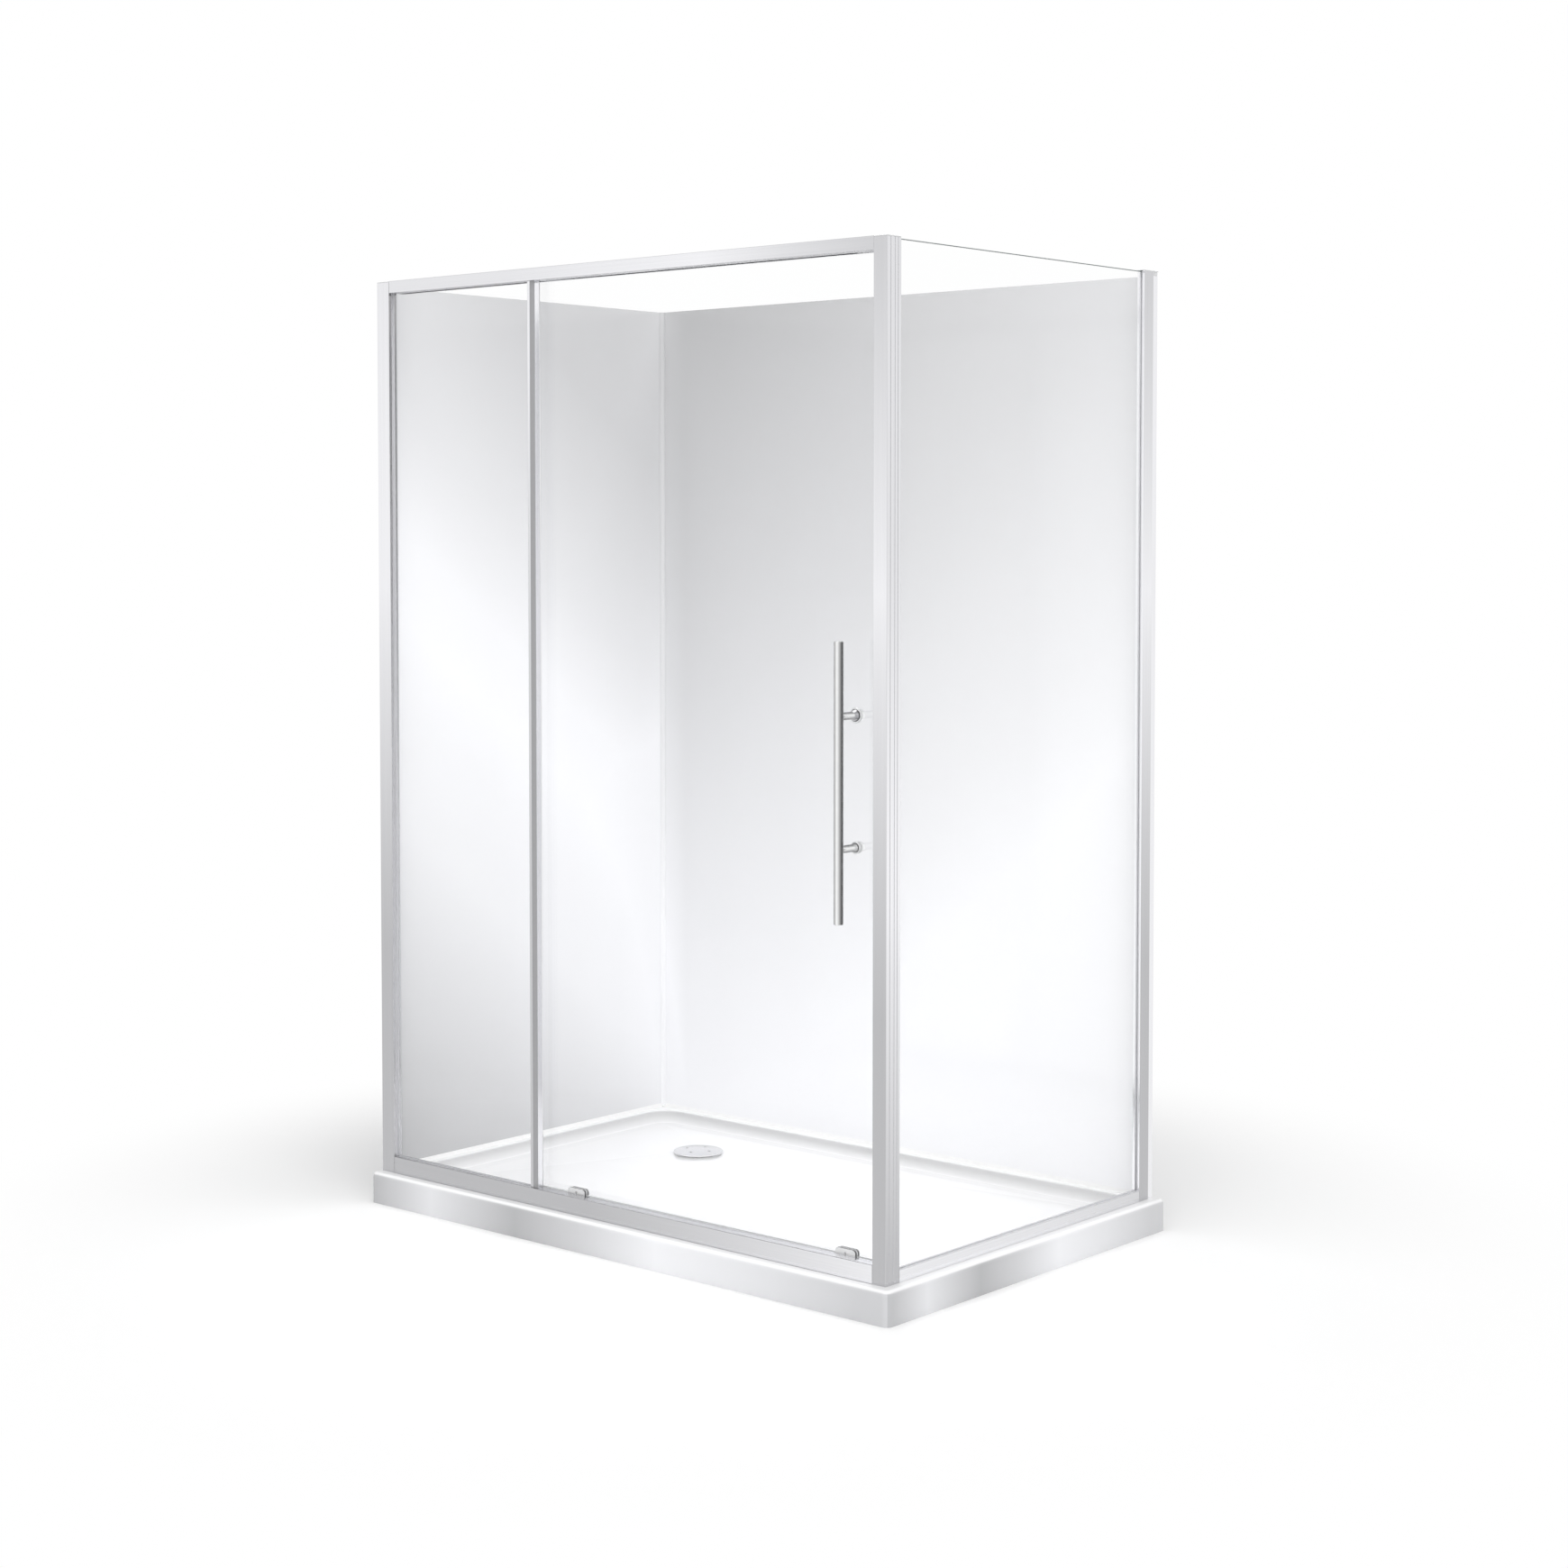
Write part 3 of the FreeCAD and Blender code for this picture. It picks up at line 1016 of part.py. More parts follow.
def handle_standoffs():
    """Round legs that seat on the bar's side and carry the fixing screws' threads."""
    bar = bar_rod()
    legs = []
    for z in standoff_heights:
        leg = rod(STANDOFF_RADIUS, rosette_front - bar_y, handle_x, bar_y, z, ALONG_Y)
        thread = rod(HANDLE_SCREW_RADIUS, HANDLE_THREAD + OVERCUT, handle_x,
                     rosette_front - HANDLE_THREAD, z, ALONG_Y)
        legs.append(leg.cut(bar).cut(thread))
    return legs


def handle_rosettes():
    return [
        tube(radius, HANDLE_SCREW_RADIUS, ROSETTE_THICKNESS, handle_x, rosette_front, z, ALONG_Y)
        for z, radius in zip(standoff_heights, rosette_radii)
    ]


def handle_washers():
    """Clear washers on both faces of the pane."""
    washers = []
    for z in standoff_heights:
        for y in (door_front_face - HANDLE_WASHER_THICKNESS, door_back_face):
            washers.append(tube(LOWER_ROSETTE_RADIUS, HANDLE_SCREW_RADIUS, HANDLE_WASHER_THICKNESS,
                                handle_x, y, z, ALONG_Y))
    return washers


inside_cap_front = door_back_face + HANDLE_WASHER_THICKNESS


def handle_inside_caps():
    """Sockets on the inner face of the door that hide the screw heads."""
    caps = []
    for z in standoff_heights:
        cap = tube(INSIDE_CAP_RADIUS, HANDLE_SCREW_RADIUS, INSIDE_CAP_THICKNESS, handle_x,
                   inside_cap_front, z, ALONG_Y)
        head_seat = rod(HANDLE_SCREW_HEAD_RADIUS, HANDLE_SCREW_HEAD + OVERCUT, handle_x,
                        inside_cap_front + INSIDE_CAP_THICKNESS - HANDLE_SCREW_HEAD, z, ALONG_Y)
        caps.append(cap.cut(head_seat))
    return caps


def handle_screws():
    head_y = inside_cap_front + INSIDE_CAP_THICKNESS - HANDLE_SCREW_HEAD
    thread_end = rosette_front - HANDLE_THREAD
    screws = []
    for z in standoff_heights:
        shank = rod(HANDLE_SCREW_RADIUS, head_y - thread_end, handle_x, thread_end, z, ALONG_Y)
        head = rod(HANDLE_SCREW_HEAD_RADIUS, HANDLE_SCREW_HEAD, handle_x, head_y, z, ALONG_Y)
        screws.append(joined([shank, head]))
    return screws


# Write one file for each sub-part

save("shower_tray", [shower_tray()])
save("tray_bearers", tray_bearers())
save("waste_cup", [waste_cup()])
save("waste_gasket", [waste_gasket()])
save("waste_rim", [waste_rim()])
save("waste_cover", [waste_cover()])
save("left_liner", [left_liner()])
save("back_liner", [back_liner()])
save("liner_corner_trim", [liner_corner_trim()])
save("liner_tape", liner_tape())
save("liner_sealant", liner_sealant())
save("left_wall_channel", [left_wall_channel()])
save("left_post", [left_post()])
save("left_post_cap", [left_post_cap()])
save("corner_post", [corner_post()])
save("corner_post_cap", [corner_post_cap()])
save("right_wall_channel", [right_wall_channel()])
save("right_post", [right_post()])
save("right_post_cap", [right_post_cap()])
save("post_screws", post_screws())
save("header_rail", [header_rail()])
save("header_filler", [filler(header_bottom, 1)])
save("sill_rail", [sill_rail()])
save("sill_filler", [filler(sill_top, -1)])
save("side_channel", [side_channel()])
save("fixed_glass", [fixed_glass()])
save("fixed_glass_gaskets", fixed_glass_gaskets())
save("setting_blocks", setting_blocks())
save("mullion", [mullion()])
save("mullion_insert", [mullion_insert()])
save("mullion_seal", [mullion_seal()])
save("side_glass", [side_glass()])
save("side_glass_gaskets", side_glass_gaskets())
save("magnet_strip", [magnet_strip()])
save("open_stop", [open_stop()])
save("door_glass", [door_glass()])
save("door_leading_seal", [door_leading_seal()])
save("door_trailing_profile", [door_trailing_profile()])
save("door_bottom_seal", door_bottom_seal())
save("wheel_axles", wheel_axles())
save("carriage_screws", carriage_screws())
save("guide_pins", guide_pins())
save("handle_bar", [handle_bar()])
save("handle_standoffs", handle_standoffs())
save("handle_rosettes", handle_rosettes())
save("handle_washers", handle_washers())
save("handle_inside_caps", handle_inside_caps())
save("handle_screws", handle_screws())
wheel_xs = []
for side, x in zip(("left", "right"), carriage_places):
    save(f"{side}_carriage", [bottom_carriage(x)])
    wheel_xs += wheel_places(x)
for number, x in enumerate(wheel_xs, 1):
    save(f"bottom_wheel_{number}", [bottom_wheel(x)])
for side, x in zip(("left", "right"), guide_places):
    save(f"{side}_top_guide", [top_guide(x)])
    save(f"{side}_guide_wheel", [guide_wheel(x)])

print("door travel", door_travel)
print("wheel axis height", wheel_axis_z, "door plane", door_plane)
print("bottom wheels", wheel_xs, "guides", guide_places)
print("waste", waste_x, waste_y)
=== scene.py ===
import bmesh
import bpy
import json
import math
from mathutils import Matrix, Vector


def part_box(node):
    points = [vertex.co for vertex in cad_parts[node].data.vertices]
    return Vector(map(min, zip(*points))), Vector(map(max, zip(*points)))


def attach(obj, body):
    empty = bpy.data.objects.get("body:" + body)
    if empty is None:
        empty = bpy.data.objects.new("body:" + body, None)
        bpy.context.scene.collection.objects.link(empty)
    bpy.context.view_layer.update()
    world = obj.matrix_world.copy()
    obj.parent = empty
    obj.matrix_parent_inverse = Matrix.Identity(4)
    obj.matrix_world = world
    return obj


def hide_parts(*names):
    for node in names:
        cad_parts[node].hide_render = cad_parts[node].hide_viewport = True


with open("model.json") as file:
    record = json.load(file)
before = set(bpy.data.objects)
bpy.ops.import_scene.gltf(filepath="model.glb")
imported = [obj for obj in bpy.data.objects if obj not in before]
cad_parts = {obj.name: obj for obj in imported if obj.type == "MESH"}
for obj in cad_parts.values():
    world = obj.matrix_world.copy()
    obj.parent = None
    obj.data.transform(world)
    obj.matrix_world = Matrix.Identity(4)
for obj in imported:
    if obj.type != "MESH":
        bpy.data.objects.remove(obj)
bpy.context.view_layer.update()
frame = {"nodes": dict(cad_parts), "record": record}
nodes = frame["nodes"]

# Corner shower enclosure: a low acrylic tray against two walls, a framed front with one
# fixed and one sliding pane, a framed side pane, and two acrylic wall liners.
# Metres, +Z up, +X along the front towards the corner post, +Y back to the rear wall.


# ---- Camera ----
# At standing eye level, off the corner post. A small shift keeps the uprights close to
# parallel, as in the photograph.
CAMERA_PLACE = (3.6636, -4.1624, 1.4124)
CAMERA_TURN = 40.838            # degrees from looking straight at the front
CAMERA_DIP = 2.563              # degrees below the horizon
CAMERA_LENS = 61.691            # millimetres on a 36 mm sensor
CAMERA_SHIFT = -0.08

lens = bpy.data.cameras.new("studio_camera")
lens.sensor_width = 36.0
lens.lens = CAMERA_LENS
lens.shift_y = CAMERA_SHIFT
camera = bpy.data.objects.new("studio_camera", lens)
camera.location = CAMERA_PLACE
camera.rotation_euler = (math.radians(90 - CAMERA_DIP), 0, math.radians(CAMERA_TURN))
bpy.context.scene.collection.objects.link(camera)
bpy.context.scene.camera = camera
bpy.context.scene.view_settings.view_transform = "Standard"


# ---- Studio ----
# A white backdrop for the camera, a pale sky that is brightest off the corner post so that
# it reaches into the enclosure, and an overhead softbox. Metal sees a pale surround.
SKY_GAIN = 1.9
# Azimuth in degrees from +X towards +Y, and the share of light from there.
SKY = [(-180, 0.16), (-135, 0.16), (-90, 0.55), (-45, 0.95), (0, 0.55), (45, 0.16), (180, 0.16)]
SURROUND = [(-180, 0.75), (-141, 0.95), (-85, 1.0), (-45, 0.93), (66, 0.95), (120, 0.7), (180, 0.75)]
OVERHEAD_SIZE = 3.0
OVERHEAD_HEIGHT = 4.2
OVERHEAD_POWER = 80.0
FLOOR_RADIUS = 60.0
FLOOR_SIDES = 96
FLOOR_COLOUR = (0.97, 0.97, 0.97, 1)
SHADOW_REACH = (1.0, 1.8)       # the floor's shading fades out between these distances


def math_node(tree, operation, *values):
    node = tree.nodes.new("ShaderNodeMath")
    node.operation = operation
    for socket, value in zip(node.inputs, values):
        if isinstance(value, bpy.types.NodeSocket):
            tree.links.new(value, socket)
        else:
            socket.default_value = value
    return node.outputs[0]


def tone_along(tree, coordinate, stops):
    """A tone that follows a coordinate through the stops, each a place and a grey or a colour."""
    first, last = stops[0][0], stops[-1][0]
    share = math_node(tree, "MULTIPLY_ADD", coordinate, 1 / (last - first), -first / (last - first))
    ramp = tree.nodes.new("ShaderNodeValToRGB")
    marks = ramp.color_ramp.elements
    while len(marks) < len(stops):
        marks.new(0.5)
    for mark, (place, colour) in zip(marks, stops):
        mark.position = (place - first) / (last - first)
        mark.color = (*colour, 1) if isinstance(colour, tuple) else (colour, colour, colour, 1)
    tree.links.new(share, ramp.inputs[0])
    return ramp.outputs[0]


def mixed_shader(tree, share, first, second):
    mix = tree.nodes.new("ShaderNodeMixShader")
    for socket, source in zip(mix.inputs, (share, first, second)):
        tree.links.new(source, socket)
    return mix.outputs[0]


def background(tree, strength=None):
    """A white background; its strength is 1 unless one is linked."""
    light = tree.nodes.new("ShaderNodeBackground")
    light.inputs["Color"].default_value = (1, 1, 1, 1)
    if strength is not None:
        tree.links.new(strength, light.inputs["Strength"])
    return light.outputs[0]


def studio_world():
    """The camera and the glass see plain white, metal sees the surround, and the sky lights the rest."""
    world = bpy.data.worlds.new("studio")
    world.use_nodes = True
    tree = world.node_tree
    tree.nodes.clear()
    rays = tree.nodes.new("ShaderNodeLightPath")
    way = tree.nodes.new("ShaderNodeTexCoord")
    split = tree.nodes.new("ShaderNodeSeparateXYZ")
    tree.links.new(way.outputs["Generated"], split.inputs[0])
    turn = math_node(tree, "DEGREES", math_node(tree, "ARCTAN2", split.outputs[1], split.outputs[0]))
    sky = background(tree, math_node(tree, "MULTIPLY", tone_along(tree, turn, SKY), SKY_GAIN))
    surround = background(tree, tone_along(tree, turn, SURROUND))
    seen = math_node(tree, "MAXIMUM", rays.outputs["Is Camera Ray"], rays.outputs["Is Transmission Ray"])
    lighting = mixed_shader(tree, rays.outputs["Is Glossy Ray"], sky, surround)
    out = tree.nodes.new("ShaderNodeOutputWorld")
    tree.links.new(mixed_shader(tree, seen, lighting, background(tree)), out.inputs["Surface"])
    bpy.context.scene.world = world


def overhead_softbox():
    """A square lamp that shines straight down; neither the camera nor metal sees it."""
    lamp = bpy.data.lights.new("overhead", "AREA")
    lamp.shape = "SQUARE"
    lamp.size = OVERHEAD_SIZE
    lamp.energy = OVERHEAD_POWER
    box = bpy.data.objects.new("overhead", lamp)
    box.location = (0, 0, OVERHEAD_HEIGHT)
    box.visible_camera = False
    box.visible_glossy = False
    bpy.context.scene.collection.objects.link(box)


def pale_floor():
    """A round floor that takes the object's shadow near it and fades into the backdrop."""
    mesh = bpy.data.meshes.new("studio_floor")
    form = bmesh.new()
    bmesh.ops.create_circle(form, cap_ends=True, radius=FLOOR_RADIUS, segments=FLOOR_SIDES)
    form.to_mesh(mesh)
    form.free()
    floor = bpy.data.objects.new("studio_floor", mesh)
    floor.visible_glossy = False
    bpy.context.scene.collection.objects.link(floor)
    material = bpy.data.materials.new("studio_floor")
    material.use_nodes = True
    tree = material.node_tree
    shader = tree.nodes["Principled BSDF"]
    shader.inputs["Base Color"].default_value = FLOOR_COLOUR
    shader.inputs["Roughness"].default_value = 0.9
    shader.inputs["Specular IOR Level"].default_value = 0.0
    place = tree.nodes.new("ShaderNodeTexCoord")
    distance = tree.nodes.new("ShaderNodeVectorMath")
    distance.operation = "LENGTH"
    tree.links.new(place.outputs["Object"], distance.inputs[0])
    fade = tree.nodes.new("ShaderNodeMapRange")
    fade.interpolation_type = "SMOOTHSTEP"
    fade.inputs["From Min"].default_value = SHADOW_REACH[0]
    fade.inputs["From Max"].default_value = SHADOW_REACH[1]
    tree.links.new(distance.outputs["Value"], fade.inputs["Value"])
    white = tree.nodes.new("ShaderNodeEmission")
    faded = mixed_shader(tree, fade.outputs[0], shader.outputs[0], white.outputs[0])
    tree.links.new(faded, tree.nodes["Material Output"].inputs["Surface"])
    mesh.materials.append(material)


studio_world()
overhead_softbox()
pale_floor()


# ---- Shower tray ----
# One sheet of gloss white acrylic, vacuum formed over a mould: coved basin, wide ledge and
# a soft rounded edge. Painted reflection and shade run in soft silvery bands along its two aprons.
TRAY_WHITE = ((0.94, 0.94, 0.948), (0.955, 0.955, 0.963))
# Share of the way along an apron, and the tone of the painted reflection and shade there.
APRON_PAINTED_REFLECTION = [(0.0, 0.47), (0.13, 0.77), (0.31, 0.45), (0.45, 0.63), (0.59, 0.87), (0.77, 0.76),
               (0.95, 0.60), (1.0, 0.60)]
# Cool tint of the painted reflection.
APRON_TINT = (0.985, 0.99, 1.015)
APRON_COVER = (0.35, 0.85)      # upward lean of the surface, between which the painted reflection ends
APRON_SKIN = 0.011              # how far in from the tray's sides the painted reflection reaches
LEDGE_HEIGHT = 0.0655           # just over the ledge
# Upward lean of the surface inside the basin, and its tone: the cove reads as a soft line.
COVE_SHADE = [(0.2, 0.70), (0.75, 0.80), (0.93, 0.88), (0.985, 1.0)]
GRAIN_DETAIL = 4.0
GRAIN_SPREAD = 2.5              # how far the noise is stretched about its middle
RELIEF_STRENGTH = 0.4


def finish(name, roughness, metallic=0.0, coat=0.0):
    material = bpy.data.materials.new(name)
    material.use_nodes = True
    shader = material.node_tree.nodes["Principled BSDF"]
    shader.inputs["Roughness"].default_value = roughness
    shader.inputs["Metallic"].default_value = metallic
    shader.inputs["Coat Weight"].default_value = coat
    return material, material.node_tree, shader


def mixed(tree, share, first, second, blend="MIX"):
    mix = tree.nodes.new("ShaderNodeMix")
    mix.data_type = "RGBA"
    mix.blend_type = blend
    for socket, value in zip((mix.inputs[0], mix.inputs[6], mix.inputs[7]), (share, first, second)):
        if isinstance(value, bpy.types.NodeSocket):
            tree.links.new(value, socket)
        else:
            socket.default_value = value
    return mix.outputs[2]


def place_on_object(tree):
    """The three object coordinates."""
    place = tree.nodes.new("ShaderNodeTexCoord")
    where = tree.nodes.new("ShaderNodeSeparateXYZ")
    tree.links.new(place.outputs["Object"], where.inputs[0])
    return where.outputs


def way_it_faces(tree):
    """The three parts of the surface's normal."""
    surface = tree.nodes.new("ShaderNodeNewGeometry")
    facing = tree.nodes.new("ShaderNodeSeparateXYZ")
    tree.links.new(surface.outputs["Normal"], facing.inputs[0])
    return facing.outputs


def faces_sideways(tree, facing):
    """1 where the surface faces more along X than along Y, and 0 elsewhere."""
    return math_node(tree, "GREATER_THAN", math_node(tree, "ABSOLUTE", facing[0]),
                     math_node(tree, "ABSOLUTE", facing[1]))


def grain(tree, shader, colours, scale, stretch=(1, 1, 1), gloss=None, relief=0.0):
    """One noise pattern for a finish's colour, gloss and fine relief. Returns the colour."""
    place = tree.nodes.new("ShaderNodeTexCoord")
    mapping = tree.nodes.new("ShaderNodeMapping")
    mapping.inputs["Scale"].default_value = stretch
    noise = tree.nodes.new("ShaderNodeTexNoise")
    noise.inputs["Scale"].default_value = scale
    noise.inputs["Detail"].default_value = GRAIN_DETAIL
    tree.links.new(place.outputs["Object"], mapping.inputs[0])
    tree.links.new(mapping.outputs[0], noise.inputs["Vector"])
    share = math_node(tree, "MULTIPLY_ADD", noise.outputs["Fac"], GRAIN_SPREAD, (1 - GRAIN_SPREAD) / 2)
    colour = tone_along(tree, share, [(0.0, colours[0]), (1.0, colours[1])])
    tree.links.new(colour, shader.inputs["Base Color"])
    if gloss:
        level = math_node(tree, "MULTIPLY_ADD", noise.outputs["Fac"], gloss[1] - gloss[0], gloss[0])
        tree.links.new(level, shader.inputs["Roughness"])
    if relief:
        bump = tree.nodes.new("ShaderNodeBump")
        bump.inputs["Strength"].default_value = RELIEF_STRENGTH
        bump.inputs["Distance"].default_value = relief
        tree.links.new(noise.outputs["Fac"], bump.inputs["Height"])
        tree.links.new(bump.outputs[0], shader.inputs["Normal"])
    return colour


def tray_acrylic():
    material, tree, shader = finish("tray_acrylic", 0.1, coat=0.4)
    white = grain(tree, shader, TRAY_WHITE, 6.0, gloss=(0.09, 0.13))
    low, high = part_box("shower_tray")
    where = place_on_object(tree)
    facing = way_it_faces(tree)
    # Painted reflection and shade in bands along each apron.
    painted_reflections = []
    for axis in (0, 1):
        stops = [(low[axis] + share * (high[axis] - low[axis]), tuple(tone * tint for tint in APRON_TINT))
                 for share, tone in APRON_PAINTED_REFLECTION]
        painted_reflections.append(tone_along(tree, where[axis], stops))
    painted_reflection = mixed(tree, faces_sideways(tree, facing), painted_reflections[0], painted_reflections[1])
    outer = math_node(tree, "MAXIMUM",
                      math_node(tree, "LESS_THAN", where[1], low.y + APRON_SKIN),
                      math_node(tree, "GREATER_THAN", where[0], high.x - APRON_SKIN))
    level = tree.nodes.new("ShaderNodeMapRange")
    level.interpolation_type = "SMOOTHSTEP"
    level.inputs["From Min"].default_value = APRON_COVER[1]
    level.inputs["From Max"].default_value = APRON_COVER[0]
    tree.links.new(facing[2], level.inputs["Value"])
    share = math_node(tree, "MULTIPLY", level.outputs[0], outer)
    basin = math_node(tree, "SUBTRACT", math_node(tree, "LESS_THAN", where[2], LEDGE_HEIGHT), outer)
    shaded = mixed(tree, basin, white, tone_along(tree, facing[2], COVE_SHADE), "MULTIPLY")
    tree.links.new(mixed(tree, share, shaded, painted_reflection), shader.inputs["Base Color"])
    return material


def dress(material, *names):
    """Gives CAD nodes whose shape is right their finish."""
    for name in names:
        mesh = nodes[name].data
        mesh.materials.clear()
        mesh.materials.append(material)


dress(tray_acrylic(), "shower_tray")


# ---- Bearers under the tray ----
# Five sawn softwood battens, bonded under the basin with their long edges eased. The grain
# runs along each batten.
BEARER_EASE = 0.002
TIMBER = ((0.42, 0.27, 0.14), (0.62, 0.45, 0.27))
MERGE_DISTANCE = 0.000001
FLAT_ANGLE = 0.4                # degrees: faces closer than this are one face
SHARP_ANGLE = 30.0              # degrees: edges sharper than this are eased
CREASE_ANGLE = 20.0             # degrees: shading breaks at edges sharper than this


def plain(name, colours, scale, stretch=(1, 1, 1), gloss=(0.3, 0.4), relief=0.0, metallic=0.0):
    material, tree, shader = finish(name, gloss[0], metallic)
    grain(tree, shader, colours, scale, stretch, gloss, relief)
    return material


def linked(name, mesh, materials):
    for material in materials:
        mesh.materials.append(material)
    for face in mesh.polygons:
        face.use_smooth = True
    piece = bpy.data.objects.new(name, mesh)
    bpy.context.scene.collection.objects.link(piece)
    return piece


def settled(piece):
    """Makes a piece with modifiers a plain mesh."""
    depsgraph = bpy.context.evaluated_depsgraph_get()
    mesh = bpy.data.meshes.new_from_object(piece.evaluated_get(depsgraph))
    piece.modifiers.clear()
    piece.data = mesh


def stands_for(piece, node):
    """The piece takes a CAD node's place, on the node's own body."""
    bodies = frame["record"]["behaviour"]["bodies"]
    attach(piece, next(body for body, members in bodies.items() if node in members))
    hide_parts(node)


def squared(piece):
    """Keeps flat faces flat: the shading breaks at creases, and large faces lead the rest."""
    piece.data.set_sharp_from_angle(angle=math.radians(CREASE_ANGLE))
    piece.modifiers.new("flat_faces", "WEIGHTED_NORMAL").keep_sharp = True
    settled(piece)


def eased_copy(node, radius, material, arris=None, segments=2, gap=0.0):
    """A CAD node with its sharp edges rounded; arris is the finish of the rounding, and gap
    draws the faces in so that a seal doesn't share its face with the glass."""
    form = bmesh.new()
    form.from_mesh(nodes[node].data)
    bmesh.ops.remove_doubles(form, verts=form.verts, dist=MERGE_DISTANCE)
    bmesh.ops.dissolve_limit(form, angle_limit=math.radians(FLAT_ANGLE), verts=form.verts, edges=form.edges)
    form.normal_update()
    for vert in form.verts:
        vert.co -= vert.normal * gap
    mesh = bpy.data.meshes.new(node + "_eased")
    form.to_mesh(mesh)
    form.free()
    piece = linked(node + "_eased", mesh, [material, arris or material])
    for face in piece.data.polygons:
        face.material_index = 0
    bevel = piece.modifiers.new("ease", "BEVEL")
    bevel.width = radius
    bevel.segments = segments
    bevel.limit_method = "ANGLE"
    bevel.angle_limit = math.radians(SHARP_ANGLE)
    bevel.material = 1
    settled(piece)
    squared(piece)
    stands_for(piece, node)
    return piece


eased_copy("tray_bearers", BEARER_EASE,
           plain("batten_timber", TIMBER, 45, (1, 0.06, 1), (0.6, 0.75), 0.0004))


# ---- Waste ----
# A threaded rim clamped through the tray over a rubber ring, with a moulded cup screwed up
# from below. The bright cover lifts off: a shallow dome with four drain holes and four feet.
CHROME = ((0.93, 0.935, 0.94), (0.97, 0.973, 0.976))
COVER_EASE = 0.0009
WASTE_EASE = 0.0006


def rubber(name):
    return plain(name, ((0.09, 0.09, 0.095), (0.14, 0.14, 0.145)), 900, gloss=(0.55, 0.7), relief=0.0001)


bright_plate = plain("bright_plate", CHROME, 40, gloss=(0.1, 0.16), metallic=1.0)
cover_plate = plain("cover_plate", ((0.80, 0.80, 0.81), (0.85, 0.85, 0.86)), 40, gloss=(0.1, 0.16),
                    metallic=1.0)
# Painted edge shade on the cover's rounded rim.
cover_painted_edge_shade = plain("cover_painted_edge_shade", ((0.45, 0.455, 0.46), (0.52, 0.525, 0.53)), 40, gloss=(0.15, 0.2),
                  metallic=1.0)
eased_copy("waste_cover", COVER_EASE, cover_plate, cover_painted_edge_shade, segments=3)
eased_copy("waste_rim", WASTE_EASE, bright_plate)
eased_copy("waste_gasket", WASTE_EASE / 2, rubber("waste_rubber"))
eased_copy("waste_cup", WASTE_EASE,
           plain("waste_moulding", ((0.10, 0.10, 0.105), (0.15, 0.15, 0.155)), 500, gloss=(0.35, 0.5),
                 relief=0.0001))


# ---- Wall liners ----
# Gloss acrylic sheets on strips of foam tape, with a slim bead in their corner and a run of white
# silicone along the foot. A painted reflection crosses each sheet on the slant; painted light lifts it near
# the corner.
LINER_EASE = 0.0005
LINER_PEARL = ((0.95, 0.952, 0.972), (0.96, 0.962, 0.982))
# Painted reflection: tone by the metres along the slant; painted corner light: a lift by those across the
# sheet.
LEFT_SLANT = (0.616, 0.788)     # y and z shares of the slant's direction
LEFT_PAINTED_CORNER_LIGHT = [(-0.4, 0.99), (-0.1, 0.97), (0.15, 0.99), (0.3, 1.03), (0.38, 1.08), (0.44, 1.14)]
LEFT_PAINTED_REFLECTION = [(-0.1, 0.54), (0.15, 0.70), (0.41, 0.89), (0.6, 0.94), (0.75, 1.0), (0.9, 0.97), (1.1, 0.81),
              (1.3, 0.69), (1.5, 0.58), (1.75, 0.55)]
BACK_SLANT = (-0.629, 0.777)    # x and z shares
BACK_PAINTED_CORNER_LIGHT = [(-0.69, 1.26), (-0.62, 1.06), (-0.5, 1.02), (-0.3, 0.99), (0.0, 0.98), (0.3, 0.98),
               (0.65, 1.02)]
BACK_PAINTED_REFLECTION = [(-0.3, 1.16), (0.0, 1.03), (0.35, 1.0), (0.6, 0.88), (0.85, 0.78), (1.1, 0.67), (1.35, 0.59),
              (1.6, 0.51), (1.86, 0.42)]
BEAD_SWELL = 0.35               # how far the silicone's face is drawn in, as a share of its width
BEAD_STEPS = 6


def liner_acrylic(name, axis, slant, painted_reflection, painted_corner_light):
    """Pearl acrylic with a painted reflection on the slant, and painted light along the sheet towards the
    corner.
    """
    material, tree, shader = finish(name, 0.12, coat=0.3)
    pearl = grain(tree, shader, LINER_PEARL, 3.0, gloss=(0.1, 0.14))
    where = place_on_object(tree)
    sideways = math_node(tree, "MULTIPLY", where[axis], slant[0])
    along = math_node(tree, "MULTIPLY_ADD", where[2], slant[1], sideways)
    painted_lift = tone_along(tree, where[axis], painted_corner_light)
    level = math_node(tree, "MULTIPLY", tone_along(tree, along, painted_reflection), painted_lift)
    tone = math_node(tree, "MINIMUM", level, 1.0)
    grey = tree.nodes.new("ShaderNodeCombineColor")
    for socket in grey.inputs[:3]:
        tree.links.new(tone, socket)
    tree.links.new(mixed(tree, 1.0, pearl, grey.outputs[0], "MULTIPLY"), shader.inputs["Base Color"])
    return material


def drawn_out(form, outline, axis, start, end):
    """Adds a closed outline drawn out along an axis; its points give the other two axes in order."""
    rings = []
    for place in (start, end):
        ring = []
        for point in outline:
            corner = list(point)
            corner.insert(axis, place)
            ring.append(form.verts.new(corner))
        rings.append(ring)
    form.faces.new(rings[0])
    form.faces.new(rings[1])
    for i in range(len(outline)):
        form.faces.new((rings[0][i - 1], rings[0][i], rings[1][i], rings[1][i - 1]))


def from_form(name, form, materials):
    bmesh.ops.recalc_face_normals(form, faces=form.faces)
    mesh = bpy.data.meshes.new(name)
    form.to_mesh(mesh)
    form.free()
    piece = linked(name, mesh, materials)
    squared(piece)
    return piece


